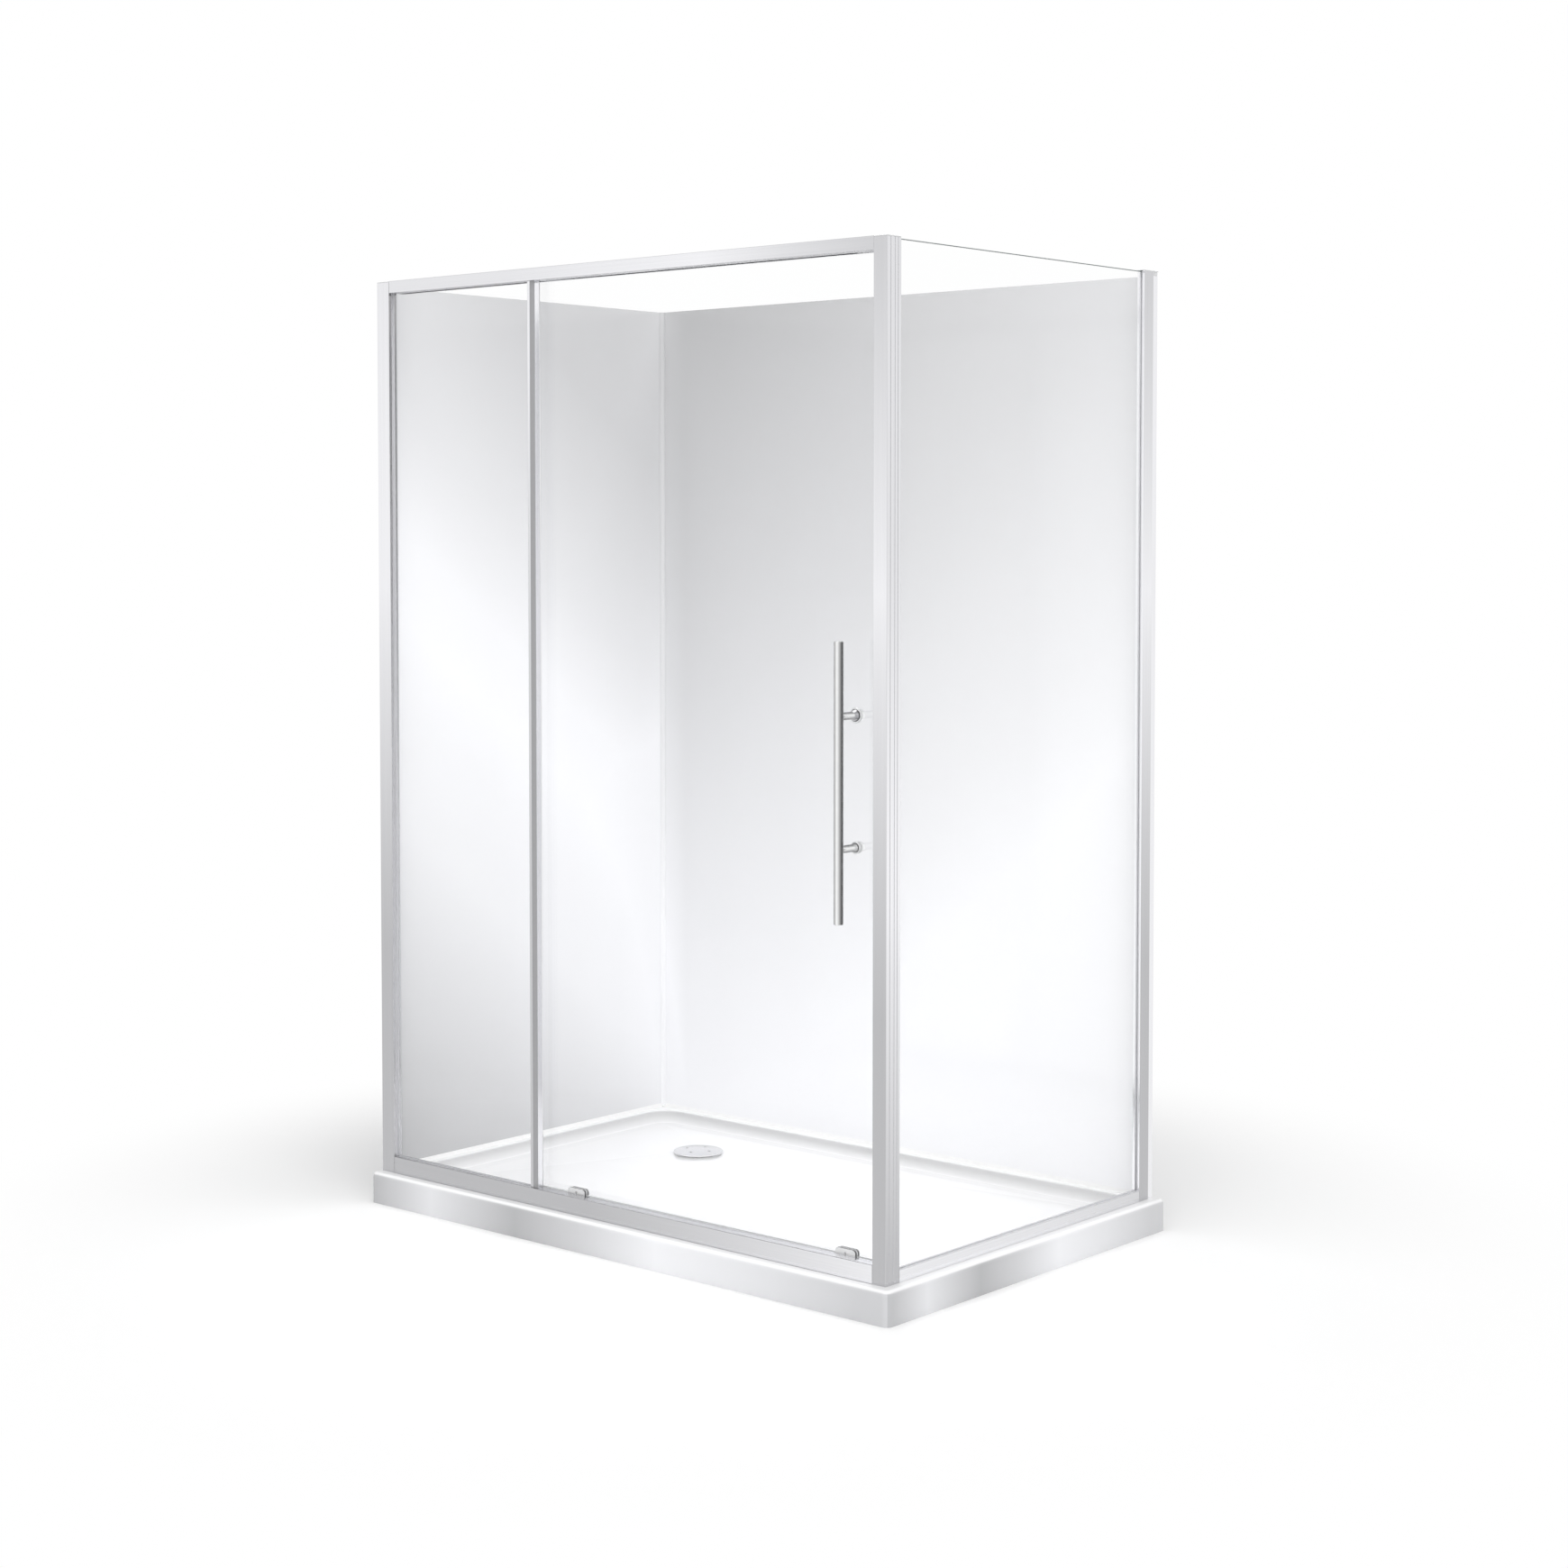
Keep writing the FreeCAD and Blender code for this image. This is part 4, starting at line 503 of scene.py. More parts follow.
def bead_outline(back, toe, foot, top):
    """The silicone's section: flat on the ledge and on the liner, its face drawn in."""
    outline = [(back, foot), (toe, foot)]
    for step in range(1, BEAD_STEPS + 1):
        share = step / BEAD_STEPS
        turn = math.pi / 2 * share
        straight = Vector((toe + (back - toe) * share, foot + (top - foot) * share))
        hollow = Vector((toe + (back - toe) * math.sin(turn), foot + (top - foot) * (1 - math.cos(turn))))
        outline.insert(1, straight.lerp(hollow, BEAD_SWELL))
    return outline


def liner_sealant():
    low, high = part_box("liner_sealant")
    left_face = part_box("left_liner")[1].x
    back_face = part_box("back_liner")[0].y
    liner_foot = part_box("left_liner")[0].z
    trim_low, trim_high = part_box("liner_corner_trim")
    form = bmesh.new()
    bead = high.z - liner_foot
    left = bead_outline(left_face, left_face + bead, low.z, high.z)
    drawn_out(form, left, 1, low.y, back_face)
    back = bead_outline(back_face, back_face - bead, low.z, high.z)
    drawn_out(form, back, 0, left_face, high.x)
    under_left = [(low.x, low.z), (left_face, low.z), (left_face, liner_foot), (low.x, liner_foot)]
    drawn_out(form, under_left, 1, low.y, high.y)
    under_back = [(back_face, low.z), (high.y, low.z), (high.y, liner_foot), (back_face, liner_foot)]
    drawn_out(form, under_back, 0, left_face, high.x)
    under_trim = [(left_face, back_face), (left_face, trim_low.y), (trim_high.x, trim_low.y),
                  (trim_high.x, back_face)]
    drawn_out(form, under_trim, 2, low.z, liner_foot)
    silicone = plain("white_silicone", ((0.90, 0.90, 0.895), (0.93, 0.93, 0.925)), 120, gloss=(0.3, 0.4))
    stands_for(from_form("liner_sealant_bead", form, [silicone]), "liner_sealant")


left_acrylic = liner_acrylic("left_liner_acrylic", 1, LEFT_SLANT, LEFT_PAINTED_REFLECTION, LEFT_PAINTED_CORNER_LIGHT)
back_acrylic = liner_acrylic("back_liner_acrylic", 0, BACK_SLANT, BACK_PAINTED_REFLECTION, BACK_PAINTED_CORNER_LIGHT)
eased_copy("left_liner", LINER_EASE, left_acrylic)
eased_copy("back_liner", LINER_EASE, back_acrylic)
eased_copy("liner_corner_trim", LINER_EASE, back_acrylic)
eased_copy("liner_tape", LINER_EASE,
           plain("foam_tape", ((0.48, 0.49, 0.50), (0.62, 0.63, 0.64)), 1400, gloss=(0.8, 0.9),
                 relief=0.0005))
liner_sealant()


# ---- Posts and wall channels ----
# Bright anodised aluminium extrusions. A U-channel is screwed to each wall, a post slides
# over it, and three pan-head screws from the inside fix the two together.
SILVER = ((0.93, 0.93, 0.955), (0.965, 0.965, 0.99))
DIE_LINES = 500.0               # extrusion marks to the metre, roughly
LINE_STRETCH = 0.004            # how much the marks are drawn out along the profile
POST_EASE = 0.0012
CHANNEL_EASE = 0.0003
# Height in metres and tone of the painted reflection on the posts' faces.
FRONT_PAINTED_REFLECTION = [(0.55, 0.56), (0.70, 0.62), (0.86, 0.70), (1.17, 0.88), (1.31, 0.97), (1.47, 0.89),
               (1.72, 0.78), (1.93, 0.70)]
LEFT_FRONT_PAINTED_REFLECTION = FRONT_PAINTED_REFLECTION[:5] + [(1.47, 0.975), (1.72, 0.95), (1.93, 0.92)]
SIDE_PAINTED_REFLECTION = [(0.10, 0.58), (0.30, 0.71), (0.62, 0.90), (0.75, 1.0), (0.88, 1.0), (1.14, 0.92),
              (1.40, 0.85), (1.95, 0.85)]
BEHIND_PANE_SHEEN = [(0.0, 1.0), (2.0, 1.0)]
CHANNEL_SHEEN = [(0.0, 0.95), (2.0, 0.95)]
# Painted shade on the side faces inside the left post's pocket, by height.
POCKET_PAINTED_SHADE = [(0.2, 0.545), (0.9, 0.555), (1.65, 0.39)]
SCREW_RECESS = 0.9              # length of the cross recess, as a share of the head's radius
RECESS_SLOT = 0.24              # width of the cross's slots, as a share of its length
HEAD_TOP = 0.7                  # flat top of a head, as a share of its radius
SCREW_SIDES = 32


def silver(name, along, front, side=None):
    """Anodised aluminium with fine die lines along one axis; a painted reflection follows that axis too,
    and faces that look along X have the side's painted tone where one is given."""
    material, tree, shader = finish(name, 0.14, 1.0)
    stretch = [1.0, 1.0, 1.0]
    stretch[along] = LINE_STRETCH
    metal = grain(tree, shader, SILVER, DIE_LINES, stretch, (0.1, 0.17))
    where = place_on_object(tree)
    tone = tone_along(tree, where[along], front)
    if side:
        sideways = faces_sideways(tree, way_it_faces(tree))
        tone = mixed(tree, sideways, tone, tone_along(tree, where[along], side))
    tree.links.new(mixed(tree, 1.0, metal, tone, "MULTIPLY"), shader.inputs["Base Color"])
    return material


def separate_solids(node):
    """The lowest and highest corners of each solid in a node."""
    form = bmesh.new()
    form.from_mesh(nodes[node].data)
    bmesh.ops.remove_doubles(form, verts=form.verts, dist=MERGE_DISTANCE)
    waiting = set(form.verts)
    boxes = []
    while waiting:
        reached = [waiting.pop()]
        for vert in reached:
            for edge in vert.link_edges:
                other = edge.other_vert(vert)
                if other in waiting:
                    waiting.remove(other)
                    reached.append(other)
        low = Vector([min(vert.co[axis] for vert in reached) for axis in range(3)])
        high = Vector([max(vert.co[axis] for vert in reached) for axis in range(3)])
        boxes.append((low, high))
    form.free()
    return sorted(boxes, key=lambda box: tuple(box[0]))


def screw_tree():
    """Geometry nodes that set a pan-head screw on every point, its head along the point's aim."""
    tree = bpy.data.node_groups.new("pan_head_screws", "GeometryNodeTree")
    face = tree.interface
    face.new_socket("Places", in_out="INPUT", socket_type="NodeSocketGeometry")
    for name in ("Head Radius", "Head Height", "Shank Radius", "Shank Length", "Recess Width"):
        face.new_socket(name, in_out="INPUT", socket_type="NodeSocketFloat")
    face.new_socket("Metal", in_out="INPUT", socket_type="NodeSocketMaterial")
    face.new_socket("Screws", in_out="OUTPUT", socket_type="NodeSocketGeometry")
    given = tree.nodes.new("NodeGroupInput")
    head_radius, head_height, shank_radius, shank_length, recess = (given.outputs[i] for i in range(1, 6))

    def round_solid(kind, **sizes):
        node = tree.nodes.new("GeometryNodeMesh" + kind)
        node.inputs["Vertices"].default_value = SCREW_SIDES
        for name, size in sizes.items():
            tree.links.new(size, node.inputs[name.replace("_", " ").title()])
        return node.outputs["Mesh"]

    def shifted(geometry, height):
        lift = tree.nodes.new("ShaderNodeCombineXYZ")
        tree.links.new(height, lift.inputs["Z"])
        move = tree.nodes.new("GeometryNodeTransform")
        tree.links.new(geometry, move.inputs["Geometry"])
        tree.links.new(lift.outputs[0], move.inputs["Translation"])
        return move.outputs[0]

    half_head = math_node(tree, "MULTIPLY", head_height, 0.5)
    head_top = math_node(tree, "MULTIPLY", head_radius, HEAD_TOP)
    drum = round_solid("Cylinder", radius=head_radius, depth=half_head)
    dome = round_solid("Cone", radius_bottom=head_radius, radius_top=head_top, depth=half_head)
    shank = round_solid("Cylinder", radius=shank_radius, depth=shank_length)
    solids = [
        shifted(drum, math_node(tree, "MULTIPLY", half_head, 0.5)),
        shifted(dome, half_head),
        shifted(shank, math_node(tree, "MULTIPLY", shank_length, -0.5)),
    ]
    union = tree.nodes.new("GeometryNodeMeshBoolean")
    union.operation = "UNION"
    for solid in solids:
        tree.links.new(solid, union.inputs["Mesh 2"])
    cut = tree.nodes.new("GeometryNodeMeshBoolean")
    cut.operation = "DIFFERENCE"
    tree.links.new(union.outputs[0], cut.inputs["Mesh 1"])
    slim = math_node(tree, "MULTIPLY", recess, RECESS_SLOT)
    for wide, narrow in ((recess, slim), (slim, recess)):
        size = tree.nodes.new("ShaderNodeCombineXYZ")
        tree.links.new(wide, size.inputs["X"])
        tree.links.new(narrow, size.inputs["Y"])
        tree.links.new(head_height, size.inputs["Z"])
        bar = tree.nodes.new("GeometryNodeMeshCube")
        tree.links.new(size.outputs[0], bar.inputs["Size"])
        tree.links.new(shifted(bar.outputs["Mesh"], head_height), cut.inputs["Mesh 2"])
    aim = tree.nodes.new("GeometryNodeInputNamedAttribute")
    aim.data_type = "FLOAT_VECTOR"
    aim.inputs["Name"].default_value = "aim"
    turn = tree.nodes.new("FunctionNodeAlignRotationToVector")
    turn.axis = "Z"
    tree.links.new(aim.outputs["Attribute"], turn.inputs["Vector"])
    placed = tree.nodes.new("GeometryNodeInstanceOnPoints")
    tree.links.new(given.outputs[0], placed.inputs["Points"])
    tree.links.new(cut.outputs[0], placed.inputs["Instance"])
    tree.links.new(turn.outputs[0], placed.inputs["Rotation"])
    real = tree.nodes.new("GeometryNodeRealizeInstances")
    metal = tree.nodes.new("GeometryNodeSetMaterial")
    shown = tree.nodes.new("NodeGroupOutput")
    tree.links.new(placed.outputs[0], real.inputs[0])
    tree.links.new(real.outputs[0], metal.inputs["Geometry"])
    tree.links.new(given.outputs["Metal"], metal.inputs["Material"])
    tree.links.new(metal.outputs[0], shown.inputs[0])
    return tree


def screws(node, seats, aims, head, shank):
    """Screws at their heads' seats; head is radius and height, shank is radius and length."""
    mesh = bpy.data.meshes.new(node + "_set")
    mesh.from_pydata([tuple(seat) for seat in seats], [], [])
    directions = mesh.attributes.new("aim", "FLOAT_VECTOR", "POINT")
    for entry, aim in zip(directions.data, aims):
        entry.vector = aim
    piece = linked(node + "_set", mesh, [])
    maker = piece.modifiers.new("screws", "NODES")
    maker.node_group = pan_head_screws
    names = ("Head Radius", "Head Height", "Shank Radius", "Shank Length", "Recess Width", "Metal")
    given = dict(zip(names, (*head, *shank, head[0] * SCREW_RECESS, steel)))
    for item in pan_head_screws.interface.items_tree:
        if item.in_out == "INPUT" and item.name in given:
            maker[item.identifier] = given[item.name]
    settled(piece)
    stands_for(piece, node)


pan_head_screws = screw_tree()
steel = plain("stainless", ((0.62, 0.62, 0.625), (0.72, 0.72, 0.725)), 600, gloss=(0.2, 0.32), metallic=1.0)
# Darker finishes for the eased edges: painted edge shade that outlines the aluminium pieces.
dark_edge_shade = plain("painted_edge_shade", ((0.36, 0.36, 0.375), (0.42, 0.42, 0.435)), 300, gloss=(0.25, 0.3),
                   metallic=1.0)
soft_edge_shade = plain("painted_soft_edge_shade", ((0.62, 0.62, 0.64), (0.68, 0.68, 0.70)), 300, gloss=(0.2, 0.25),
                   metallic=1.0)
channel_silver = silver("channel_aluminium", 2, CHANNEL_SHEEN)
eased_copy("left_wall_channel", CHANNEL_EASE, channel_silver)
eased_copy("right_wall_channel", CHANNEL_EASE, channel_silver)
eased_copy("left_post", POST_EASE,
           silver("left_post_aluminium", 2, LEFT_FRONT_PAINTED_REFLECTION, POCKET_PAINTED_SHADE), soft_edge_shade)
eased_copy("corner_post", POST_EASE / 2,
           silver("corner_post_aluminium", 2, FRONT_PAINTED_REFLECTION, SIDE_PAINTED_REFLECTION), soft_edge_shade)
eased_copy("right_post", POST_EASE / 2,
           silver("right_post_aluminium", 2, BEHIND_PANE_SHEEN, FRONT_PAINTED_REFLECTION), soft_edge_shade)
cap_grey = plain("cap_moulding", ((0.66, 0.665, 0.67), (0.72, 0.725, 0.73)), 700, gloss=(0.3, 0.45),
                 relief=0.0001)
for side in ("left", "corner", "right"):
    eased_copy(side + "_post_cap", POST_EASE, cap_grey)

SCREW_HEAD = (0.004, 0.0022)    # radius and height
SCREW_SHANK = (0.002, 0.0037)   # radius and length
seats, aims = [], []
for low, high in separate_solids("post_screws"):
    middle = (low + high) / 2
    if high.x < 0:
        seats.append((middle.x, high.y - SCREW_HEAD[1], middle.z))
        aims.append((0, 1, 0))
    else:
        seats.append((low.x + SCREW_HEAD[1], middle.y, middle.z))
        aims.append((-1, 0, 0))
screws("post_screws", seats, aims, SCREW_HEAD, SCREW_SHANK)


# ---- Header, sill and side channel ----
# Aluminium boxes cut between the posts, with a glazing slot that a snap-in strip closes
# beside the mullion. The sill's shelf carries the track rib, and a rubber block in the
# header's end stops the door.
RAIL_EASE = 0.0010
# Place along each rail in metres and tone of the painted reflection there.
HEADER_PAINTED_REFLECTION = [(-0.661, 0.875), (-0.30, 0.885), (-0.10, 0.93), (0.10, 0.96), (0.231, 0.985), (0.336, 0.91),
                (0.425, 0.84), (0.554, 0.76), (0.644, 0.71)]
SILL_PAINTED_REFLECTION = [(-0.081, 0.56), (0.114, 0.64), (0.30, 0.73), (0.477, 0.83), (0.644, 0.93)]
SIDE_CHANNEL_PAINTED_REFLECTION = [(-0.385, 0.93), (0.1, 0.86), (0.4, 0.74)]

header_silver = silver("header_aluminium", 0, HEADER_PAINTED_REFLECTION)
sill_silver = silver("sill_aluminium", 0, SILL_PAINTED_REFLECTION)
eased_copy("header_rail", RAIL_EASE, header_silver, soft_edge_shade)
eased_copy("header_filler", CHANNEL_EASE, header_silver)
eased_copy("sill_rail", RAIL_EASE, sill_silver, dark_edge_shade)
eased_copy("sill_filler", CHANNEL_EASE, sill_silver)
eased_copy("side_channel", CHANNEL_EASE,
           silver("side_channel_aluminium", 1, SIDE_CHANNEL_PAINTED_REFLECTION), dark_edge_shade)
eased_copy("open_stop", POST_EASE, rubber("stop_rubber"))


# ---- Fixed panes ----
# Clear toughened glass, 6 mm, with ground edges. Grey wedge gaskets hold each pane in its
# posts and rails, and plastic blocks carry its weight.
GLASS_EASE = 0.0018
GLASS_TINT = ((0.996, 0.998, 0.998), (0.998, 0.999, 0.999))
GLASS_INDEX = 1.5
FACE_LEAN = 0.5                 # a surface that leans away from the pane's face by more is its edge
GASKET_EASE = 0.0004
GLASS_GAP = 0.0001              # what lies on the glass keeps this far off it


def toughened_glass():
    """Clear glass that lets lamps and the sky's light through."""
    material, tree, shader = finish("clear_glass", 0.0)
    colour = grain(tree, shader, GLASS_TINT, 2.0)
    shader.inputs["Transmission Weight"].default_value = 1.0
    shader.inputs["IOR"].default_value = GLASS_INDEX
    rays = tree.nodes.new("ShaderNodeLightPath")
    passing = math_node(tree, "MAXIMUM", rays.outputs["Is Shadow Ray"], rays.outputs["Is Diffuse Ray"])
    through = tree.nodes.new("ShaderNodeBsdfTransparent")
    tree.links.new(colour, through.inputs["Color"])
    seen = mixed_shader(tree, passing, shader.outputs[0], through.outputs[0])
    tree.links.new(seen, tree.nodes["Material Output"].inputs["Surface"])
    return material


def pane(node, thin_axis):
    """A glass pane: clear faces, and ground edges that read as a fine grey-green line."""
    piece = eased_copy(node, GLASS_EASE, clear_glass, ground_edge)
    for face in piece.data.polygons:
        if abs(face.normal[thin_axis]) < FACE_LEAN:
            face.material_index = 1


clear_glass = toughened_glass()
ground_edge = plain("ground_glass_edge", ((0.15, 0.17, 0.17), (0.20, 0.22, 0.22)), 300, gloss=(0.2, 0.3))
grey_vinyl = plain("grey_vinyl", ((0.62, 0.62, 0.645), (0.67, 0.67, 0.695)), 500, gloss=(0.4, 0.5))
pane("fixed_glass", 1)
pane("side_glass", 0)
eased_copy("fixed_glass_gaskets", GASKET_EASE, grey_vinyl, gap=GLASS_GAP)
eased_copy("side_glass_gaskets", GASKET_EASE, grey_vinyl, gap=GLASS_GAP)
eased_copy("setting_blocks", GASKET_EASE, rubber("setting_block_plastic"), gap=GLASS_GAP)


# ---- Mullion ----
# The upright on the fixed pane's free edge: an aluminium profile with a grey insert pressed
# into its front, and behind it a soft fin that wipes the sliding pane.
MULLION_EASE = 0.0004
FIN_EASE = 0.0003
# Height in metres and tone of the painted reflection on the front; the side is evenly bright.
MULLION_PAINTED_REFLECTION = [(0.0, 0.62), (0.6, 0.64), (1.25, 0.75), (1.8, 0.95)]
MULLION_SIDE = [(0.0, 0.98), (2.0, 0.98)]

eased_copy("mullion", MULLION_EASE,
           silver("mullion_aluminium", 2, MULLION_PAINTED_REFLECTION, MULLION_SIDE), soft_edge_shade)
eased_copy("mullion_insert", FIN_EASE,
           plain("insert_vinyl", ((0.31, 0.31, 0.32), (0.35, 0.35, 0.36)), 500, gloss=(0.4, 0.5)))
soft_seal = plain("soft_seal", ((0.74, 0.745, 0.75), (0.80, 0.805, 0.81)), 400, gloss=(0.3, 0.4))
eased_copy("mullion_seal", FIN_EASE, soft_seal, gap=GLASS_GAP)
eased_copy("magnet_strip", FIN_EASE, soft_seal, gap=GLASS_GAP)


# ---- Sliding door ----
# One clear pane with ground edges. A magnetic seal clips on its closing edge, a slim
# aluminium profile on the other, and a drip seal in three lengths along its foot.
pane("door_glass", 1)
eased_copy("door_leading_seal", FIN_EASE, soft_seal, gap=GLASS_GAP)
eased_copy("door_trailing_profile", FIN_EASE,
           silver("trailing_aluminium", 2, MULLION_PAINTED_REFLECTION, MULLION_SIDE), gap=GLASS_GAP)
eased_copy("door_bottom_seal", FIN_EASE, soft_seal, gap=GLASS_GAP)


# ---- Roller carriages ----
# White nylon housings clamped round the pane's foot, with painted shade in dark grey on their edges.
# Each holds two grooved nylon wheels on steel pins, which run on the sill's rib.
CARRIAGE_EASE = 0.0012
WHEEL_EASE = 0.0004
NYLON = ((0.90, 0.90, 0.905), (0.94, 0.94, 0.945))
HOUSING_EDGE_SHADE = (0.14, 0.14, 0.145, 1)
HOUSING_LEAN = 0.6              # a surface that leans away from front and back by more is the edge, in painted shade
CARRIAGE_SCREW_HEAD = (0.0045, 0.002)  # radius and height
CARRIAGE_SCREW_RADIUS = 0.0025
TREAD_DROP = 0.0015             # groove's depth in the tread
GROOVE_HALF = 0.002
WHEEL_BORE = 0.00205
WHEEL_HUB = 0.0042
WEB_DROP = 0.0012               # hollow between hub and rim
WHEEL_RIM = 0.0022
RIM_LEAN = 0.0006
WHEEL_SIDES = 72
LONGEST_CUT = 0.48              # most of an outline's side that the rounding of one corner takes


def housing_nylon():
    """White faces to the front and back, and painted shade in dark grey round the edge."""
    material, tree, shader = finish("housing_nylon", 0.35)
    white = grain(tree, shader, NYLON, 900, gloss=(0.3, 0.42), relief=0.0001)
    facing = way_it_faces(tree)
    edge = math_node(tree, "LESS_THAN", math_node(tree, "ABSOLUTE", facing[1]), HOUSING_LEAN)
    tree.links.new(mixed(tree, edge, white, HOUSING_EDGE_SHADE), shader.inputs["Base Color"])
    return material


def rounded(outline, radius, steps=3):
    """The outline's corners rounded, but not its two ends."""
    points = [Vector(outline[0])]
    for before, corner, after in zip(outline, outline[1:], outline[2:]):
        here = Vector(corner)
        back = Vector(before) - here
        on = Vector(after) - here
        cut = min(radius, back.length * LONGEST_CUT, on.length * LONGEST_CUT)
        start = here + back.normalized() * cut
        end = here + on.normalized() * cut
        for step in range(steps + 1):
            share = step / steps
            points.append(start.lerp(here, share).lerp(here.lerp(end, share), share))
    points.append(Vector(outline[-1]))
    return points


def turned(form, profile, place, axis, sides=WHEEL_SIDES):
    """Adds a round solid: a profile of (radius, distance) turned about an axis through a point.
    A profile that starts off the axis is closed on itself, and leaves a bore."""
    rings = []
    for radius, distance in profile:
        ring = []
        for i in range(sides if radius > 0 else 1):
            turn = 2 * math.pi * i / sides
            corner = [radius * math.cos(turn), radius * math.sin(turn)]
            corner.insert(axis, distance)
            ring.append(form.verts.new(Vector(corner) + Vector(place)))
        rings.append(ring)
    if profile[0][0] > 0:
        rings.append(rings[0])
    for first, second in zip(rings, rings[1:]):
        for i in range(sides):
            a, b = first[i % len(first)], first[(i + 1) % len(first)]
            c, d = second[(i + 1) % len(second)], second[i % len(second)]
            corners = [a, b, c, d]
            form.faces.new([v for n, v in enumerate(corners) if v not in corners[:n]])


def nylon_wheel(node, axis, hub, rim, edge_drop, tread):
    """A wheel with a bore and hollowed sides. The tread's corners run from its edge to its middle,
    each a drop below the wheel's radius and a distance from the middle."""
    low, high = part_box(node)
    reach = (high.x - low.x) / 2
    half = (high[axis] - low[axis]) / 2
    web = half - WEB_DROP
    corners = [(WHEEL_BORE, half), (hub, half), (hub, web), (reach - rim - RIM_LEAN, web),
               (reach - rim, half), (reach - edge_drop, half)]
    corners += [(reach - drop, distance) for drop, distance in tread]
    outline = corners + [(radius, -distance) for radius, distance in reversed(corners) if distance > 0]
    form = bmesh.new()
    turned(form, rounded(outline, WHEEL_EASE, 2), (low + high) / 2, axis)
    stands_for(from_form(node + "_tyre", form, [wheel_nylon]), node)


def screws_from_inside(node, head, shank_radius):
    """Screws driven towards the front, their heads on the inside of the enclosure."""
    seats = []
    for low, high in separate_solids(node):
        seats.append(((low.x + high.x) / 2, high.y - head[1], (low.z + high.z) / 2))
        shank_length = high.y - low.y - head[1]
    screws(node, seats, [(0, 1, 0)] * len(seats), head, (shank_radius, shank_length))


nylon_housing = housing_nylon()
wheel_nylon = plain("wheel_nylon", ((0.82, 0.82, 0.81), (0.88, 0.88, 0.87)), 700, gloss=(0.25, 0.35))
for side in ("left", "right"):
    eased_copy(side + "_carriage", CARRIAGE_EASE, nylon_housing, gap=GLASS_GAP)
for number in range(1, 5):
    nylon_wheel(f"bottom_wheel_{number}", 1, WHEEL_HUB, WHEEL_RIM, 0.0,
                [(0.0, GROOVE_HALF), (TREAD_DROP, GROOVE_HALF)])
eased_copy("wheel_axles", WHEEL_EASE, steel)
screws_from_inside("carriage_screws", CARRIAGE_SCREW_HEAD, CARRIAGE_SCREW_RADIUS)


# ---- Top guides ----
# A nylon saddle bonded over each end of the pane's top edge, with a pin on which a flat
# crowned wheel turns between the walls of the header's channel.
GUIDE_EASE = 0.0006
GUIDE_HUB = 0.0045
GUIDE_RIM = 0.002
CROWN = 0.0003                  # how far the tread's middle stands proud of its edges

guide_nylon = plain("guide_nylon", NYLON, 900, gloss=(0.3, 0.42), relief=0.0001)
for side in ("left", "right"):
    eased_copy(side + "_top_guide", GUIDE_EASE, guide_nylon, gap=GLASS_GAP)
    nylon_wheel(side + "_guide_wheel", 2, GUIDE_HUB, GUIDE_RIM, CROWN, [(0.0, 0.0)])
eased_copy("guide_pins", WHEEL_EASE, steel)


# ---- Handle ----
# A chrome-plated round bar on two turned legs. Each leg opens into a bell on a rosette outside
# the pane, with clear washers on the glass, and a screw through a cap on the inside holds it.
BAR_END = 0.003
HANDLE_SCREW_HEAD = (0.005, 0.004)  # radius and height
HANDLE_SCREW_RADIUS = 0.003
BELL_SHARE = 0.76               # bell at the foot of a leg, as a share of its rosette
BELL_LENGTH = 0.0095
BELL_RIM = 0.0018
RIM_SHADE = 0.22                # share of the bell's flare that lies in shade
RECESS_DEPTH = 0.0010
RECESS_GAP = 0.0004
ROSETTE_EASE = 0.0012
ROSETTE_LIP = 0.0012
HANDLE_SIDES = 96
# Azimuth of the surface in degrees from +X, and the painted reflection's tone there: a painted highlight at
# the front and a painted dark reflection down the closing side.
BAR_PAINTED_REFLECTION = [(-180, 0.75), (-150, 0.68), (-115, 0.48), (-95, 0.64), (-81, 0.87), (-68, 0.98), (-57, 0.77),
               (-45, 0.61), (-34, 0.39), (-21, 0.20), (-7, 0.15), (13, 0.33), (35, 0.6), (90, 0.75),
               (180, 0.75)]
BAR_END_TONE = (0.9, 0.9, 0.9, 1)
# Upward lean of the surface of a leg or a rosette, and the tone of the painted reflection there.
LEG_PAINTED_REFLECTION = [(-1.0, 0.14), (-0.8, 0.22), (-0.45, 0.50), (-0.1, 0.80), (0.25, 0.95), (0.6, 0.62),
               (0.85, 0.28), (1.0, 0.16)]
ROSETTE_PAINTED_REFLECTION = [(-1.0, 0.42), (-0.5, 0.62), (0.0, 0.88), (0.5, 0.80), (1.0, 0.55)]
# Painted tone on the flat faces.
LEG_FACE = (0.60, 0.60, 0.61, 1)
ROSETTE_FACE = (0.86, 0.86, 0.87, 1)


def turned_chrome(name, tones, face):
    """Plating on what stands off the pane: a painted reflection follows the surface's upward lean, up
    to the flat faces' painted tone."""
    material, tree, shader = finish(name, 0.08, 1.0)
    plating = grain(tree, shader, CHROME, 60, gloss=(0.06, 0.1))
    facing = way_it_faces(tree)
    outward = math_node(tree, "ABSOLUTE", facing[1])
    tone = mixed(tree, outward, tone_along(tree, facing[2], tones), face)
    tree.links.new(mixed(tree, 1.0, plating, tone, "MULTIPLY"), shader.inputs["Base Color"])
    return material


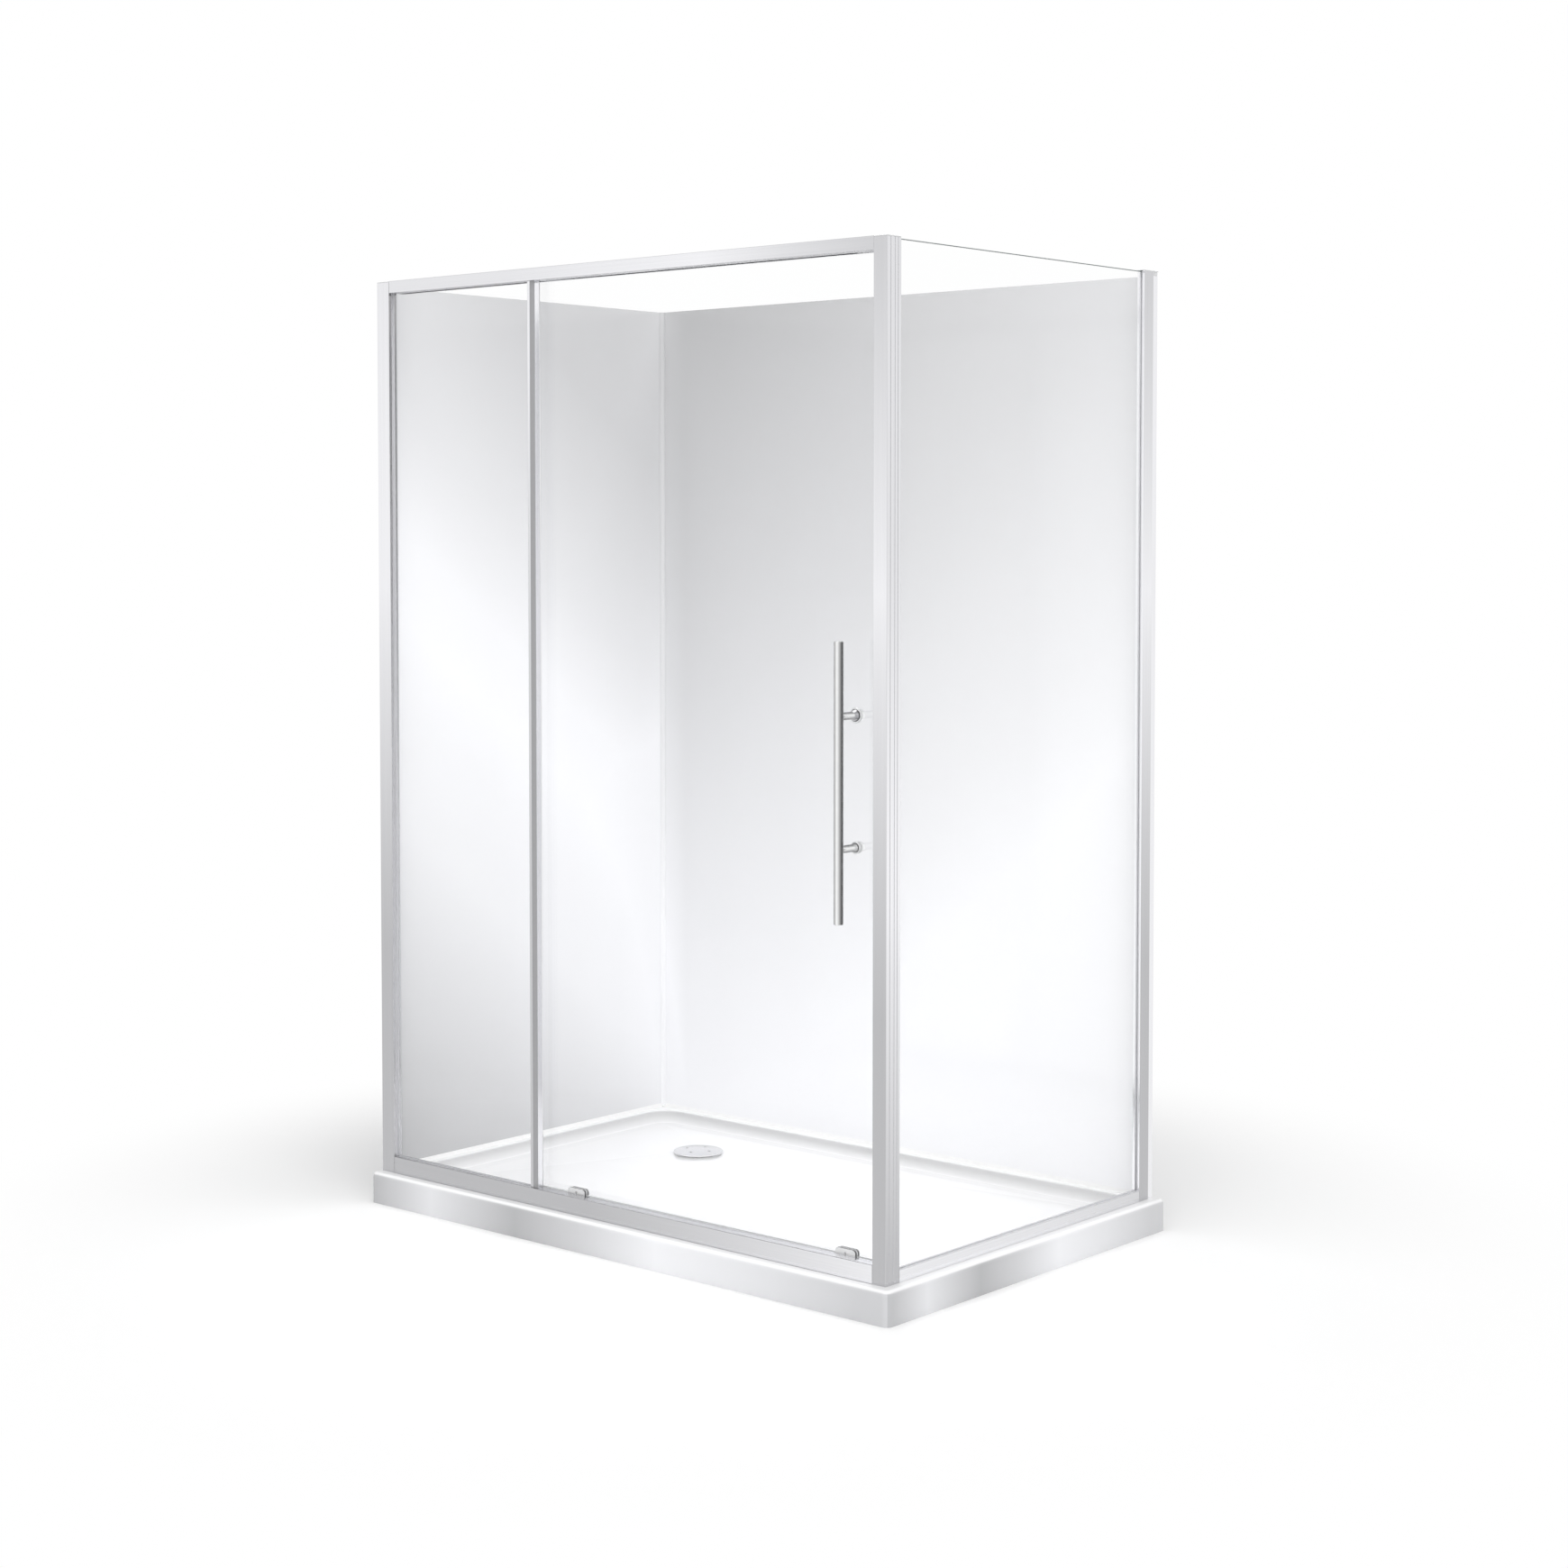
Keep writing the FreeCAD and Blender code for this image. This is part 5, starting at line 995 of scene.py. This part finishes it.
def bar_chrome():
    """Plating on the upright bar: a painted reflection goes round the bar, and its ends are bright."""
    material, tree, shader = finish("handle_chrome", 0.06, 1.0)
    plating = grain(tree, shader, CHROME, 60, gloss=(0.05, 0.09))
    facing = way_it_faces(tree)
    turn = math_node(tree, "DEGREES", math_node(tree, "ARCTAN2", facing[1], facing[0]))
    level = math_node(tree, "ABSOLUTE", facing[2])
    tone = mixed(tree, level, tone_along(tree, turn, BAR_PAINTED_REFLECTION), BAR_END_TONE)
    tree.links.new(mixed(tree, 1.0, plating, tone, "MULTIPLY"), shader.inputs["Base Color"])
    return material


def handle_bar():
    low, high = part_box("handle_bar")
    middle = (low + high) / 2
    radius = (high.x - low.x) / 2
    half = (high.z - low.z) / 2
    form = bmesh.new()
    profile = rounded([(0.0, -half), (radius, -half), (radius, half), (0.0, half)], BAR_END, steps=5)
    turned(form, profile, middle, 2, HANDLE_SIDES)
    stands_for(from_form("handle_bar_turned", form, [chrome]), "handle_bar")


def by_height(node):
    return sorted(separate_solids(node), key=lambda corners: corners[0].z)


def handle_legs():
    """Legs that open into a bell on the rosette; their other end is hidden in the bar's side."""
    bar_low, bar_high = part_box("handle_bar")
    x = (bar_low.x + bar_high.x) / 2
    form = bmesh.new()
    rims = []
    for leg, rosette in zip(by_height("handle_standoffs"), by_height("handle_rosettes")):
        low, high = leg
        radius = (high.z - low.z) / 2
        bell = (rosette[1].z - rosette[0].z) / 2 * BELL_SHARE
        z = (low.z + high.z) / 2
        end = high.y + RECESS_DEPTH
        corners = [(0.0, low.y), (radius, low.y), (radius, end - BELL_LENGTH), (bell, end - BELL_RIM),
                   (bell, end), (0.0, end)]
        turned(form, rounded(corners, BELL_RIM / 2), (x, 0, z), 1, HANDLE_SIDES)
        rims.append((z, bell - (bell - radius) * RIM_SHADE))
    piece = from_form("handle_legs_turned", form, [leg_plating, shade_line])
    # Faces out on a bell's flare take the painted shade.
    for face in piece.data.polygons:
        away, rim = min((math.hypot(face.center.x - x, face.center.z - z), rim) for z, rim in rims)
        face.material_index = int(away > rim)
    stands_for(piece, "handle_standoffs")


def turned_discs(node, profile, material):
    """One round piece for each solid of a node; profile gives its corners from its box."""
    form = bmesh.new()
    for low, high in separate_solids(node):
        centre = (low + high) / 2
        corners = profile(low.y, high.y, (high.z - low.z) / 2)
        turned(form, rounded(corners, ROSETTE_EASE, steps=4), (centre.x, 0, centre.z), 1, HANDLE_SIDES)
    stands_for(from_form(node + "_turned", form, [material]), node)


def rosette_profile(front, back, radius):
    """A flat seat, an eased rim and a shallow recess that the leg's bell sits in."""
    bore = HANDLE_SCREW_RADIUS
    recess = radius * BELL_SHARE + RECESS_GAP
    floor = front + RECESS_DEPTH
    return [(bore, back), (radius, back), (radius, front + ROSETTE_LIP), (radius - ROSETTE_LIP, front),
            (recess, front), (recess, floor), (bore, floor)]


def inside_cap_profile(front, back, radius):
    """A plain boss with a socket for the screw's head."""
    socket, depth = HANDLE_SCREW_HEAD
    return [(HANDLE_SCREW_RADIUS, front), (radius, front), (radius, back), (socket, back),
            (socket, back - depth), (HANDLE_SCREW_RADIUS, back - depth)]


chrome = bar_chrome()
leg_plating = turned_chrome("leg_chrome", LEG_PAINTED_REFLECTION, LEG_FACE)
rosette_plating = turned_chrome("rosette_chrome", ROSETTE_PAINTED_REFLECTION, ROSETTE_FACE)
# Painted shade on the bell's flare where it sits in the rosette's recess.
shade_line = plain("painted_recess_shade", ((0.12, 0.12, 0.125), (0.16, 0.16, 0.165)), 60, gloss=(0.2, 0.3),
                   metallic=1.0)
handle_bar()
handle_legs()
turned_discs("handle_rosettes", rosette_profile, rosette_plating)
turned_discs("handle_inside_caps", inside_cap_profile, bright_plate)
eased_copy("handle_washers", FIN_EASE, soft_seal, gap=GLASS_GAP)
screws_from_inside("handle_screws", HANDLE_SCREW_HEAD, HANDLE_SCREW_RADIUS)
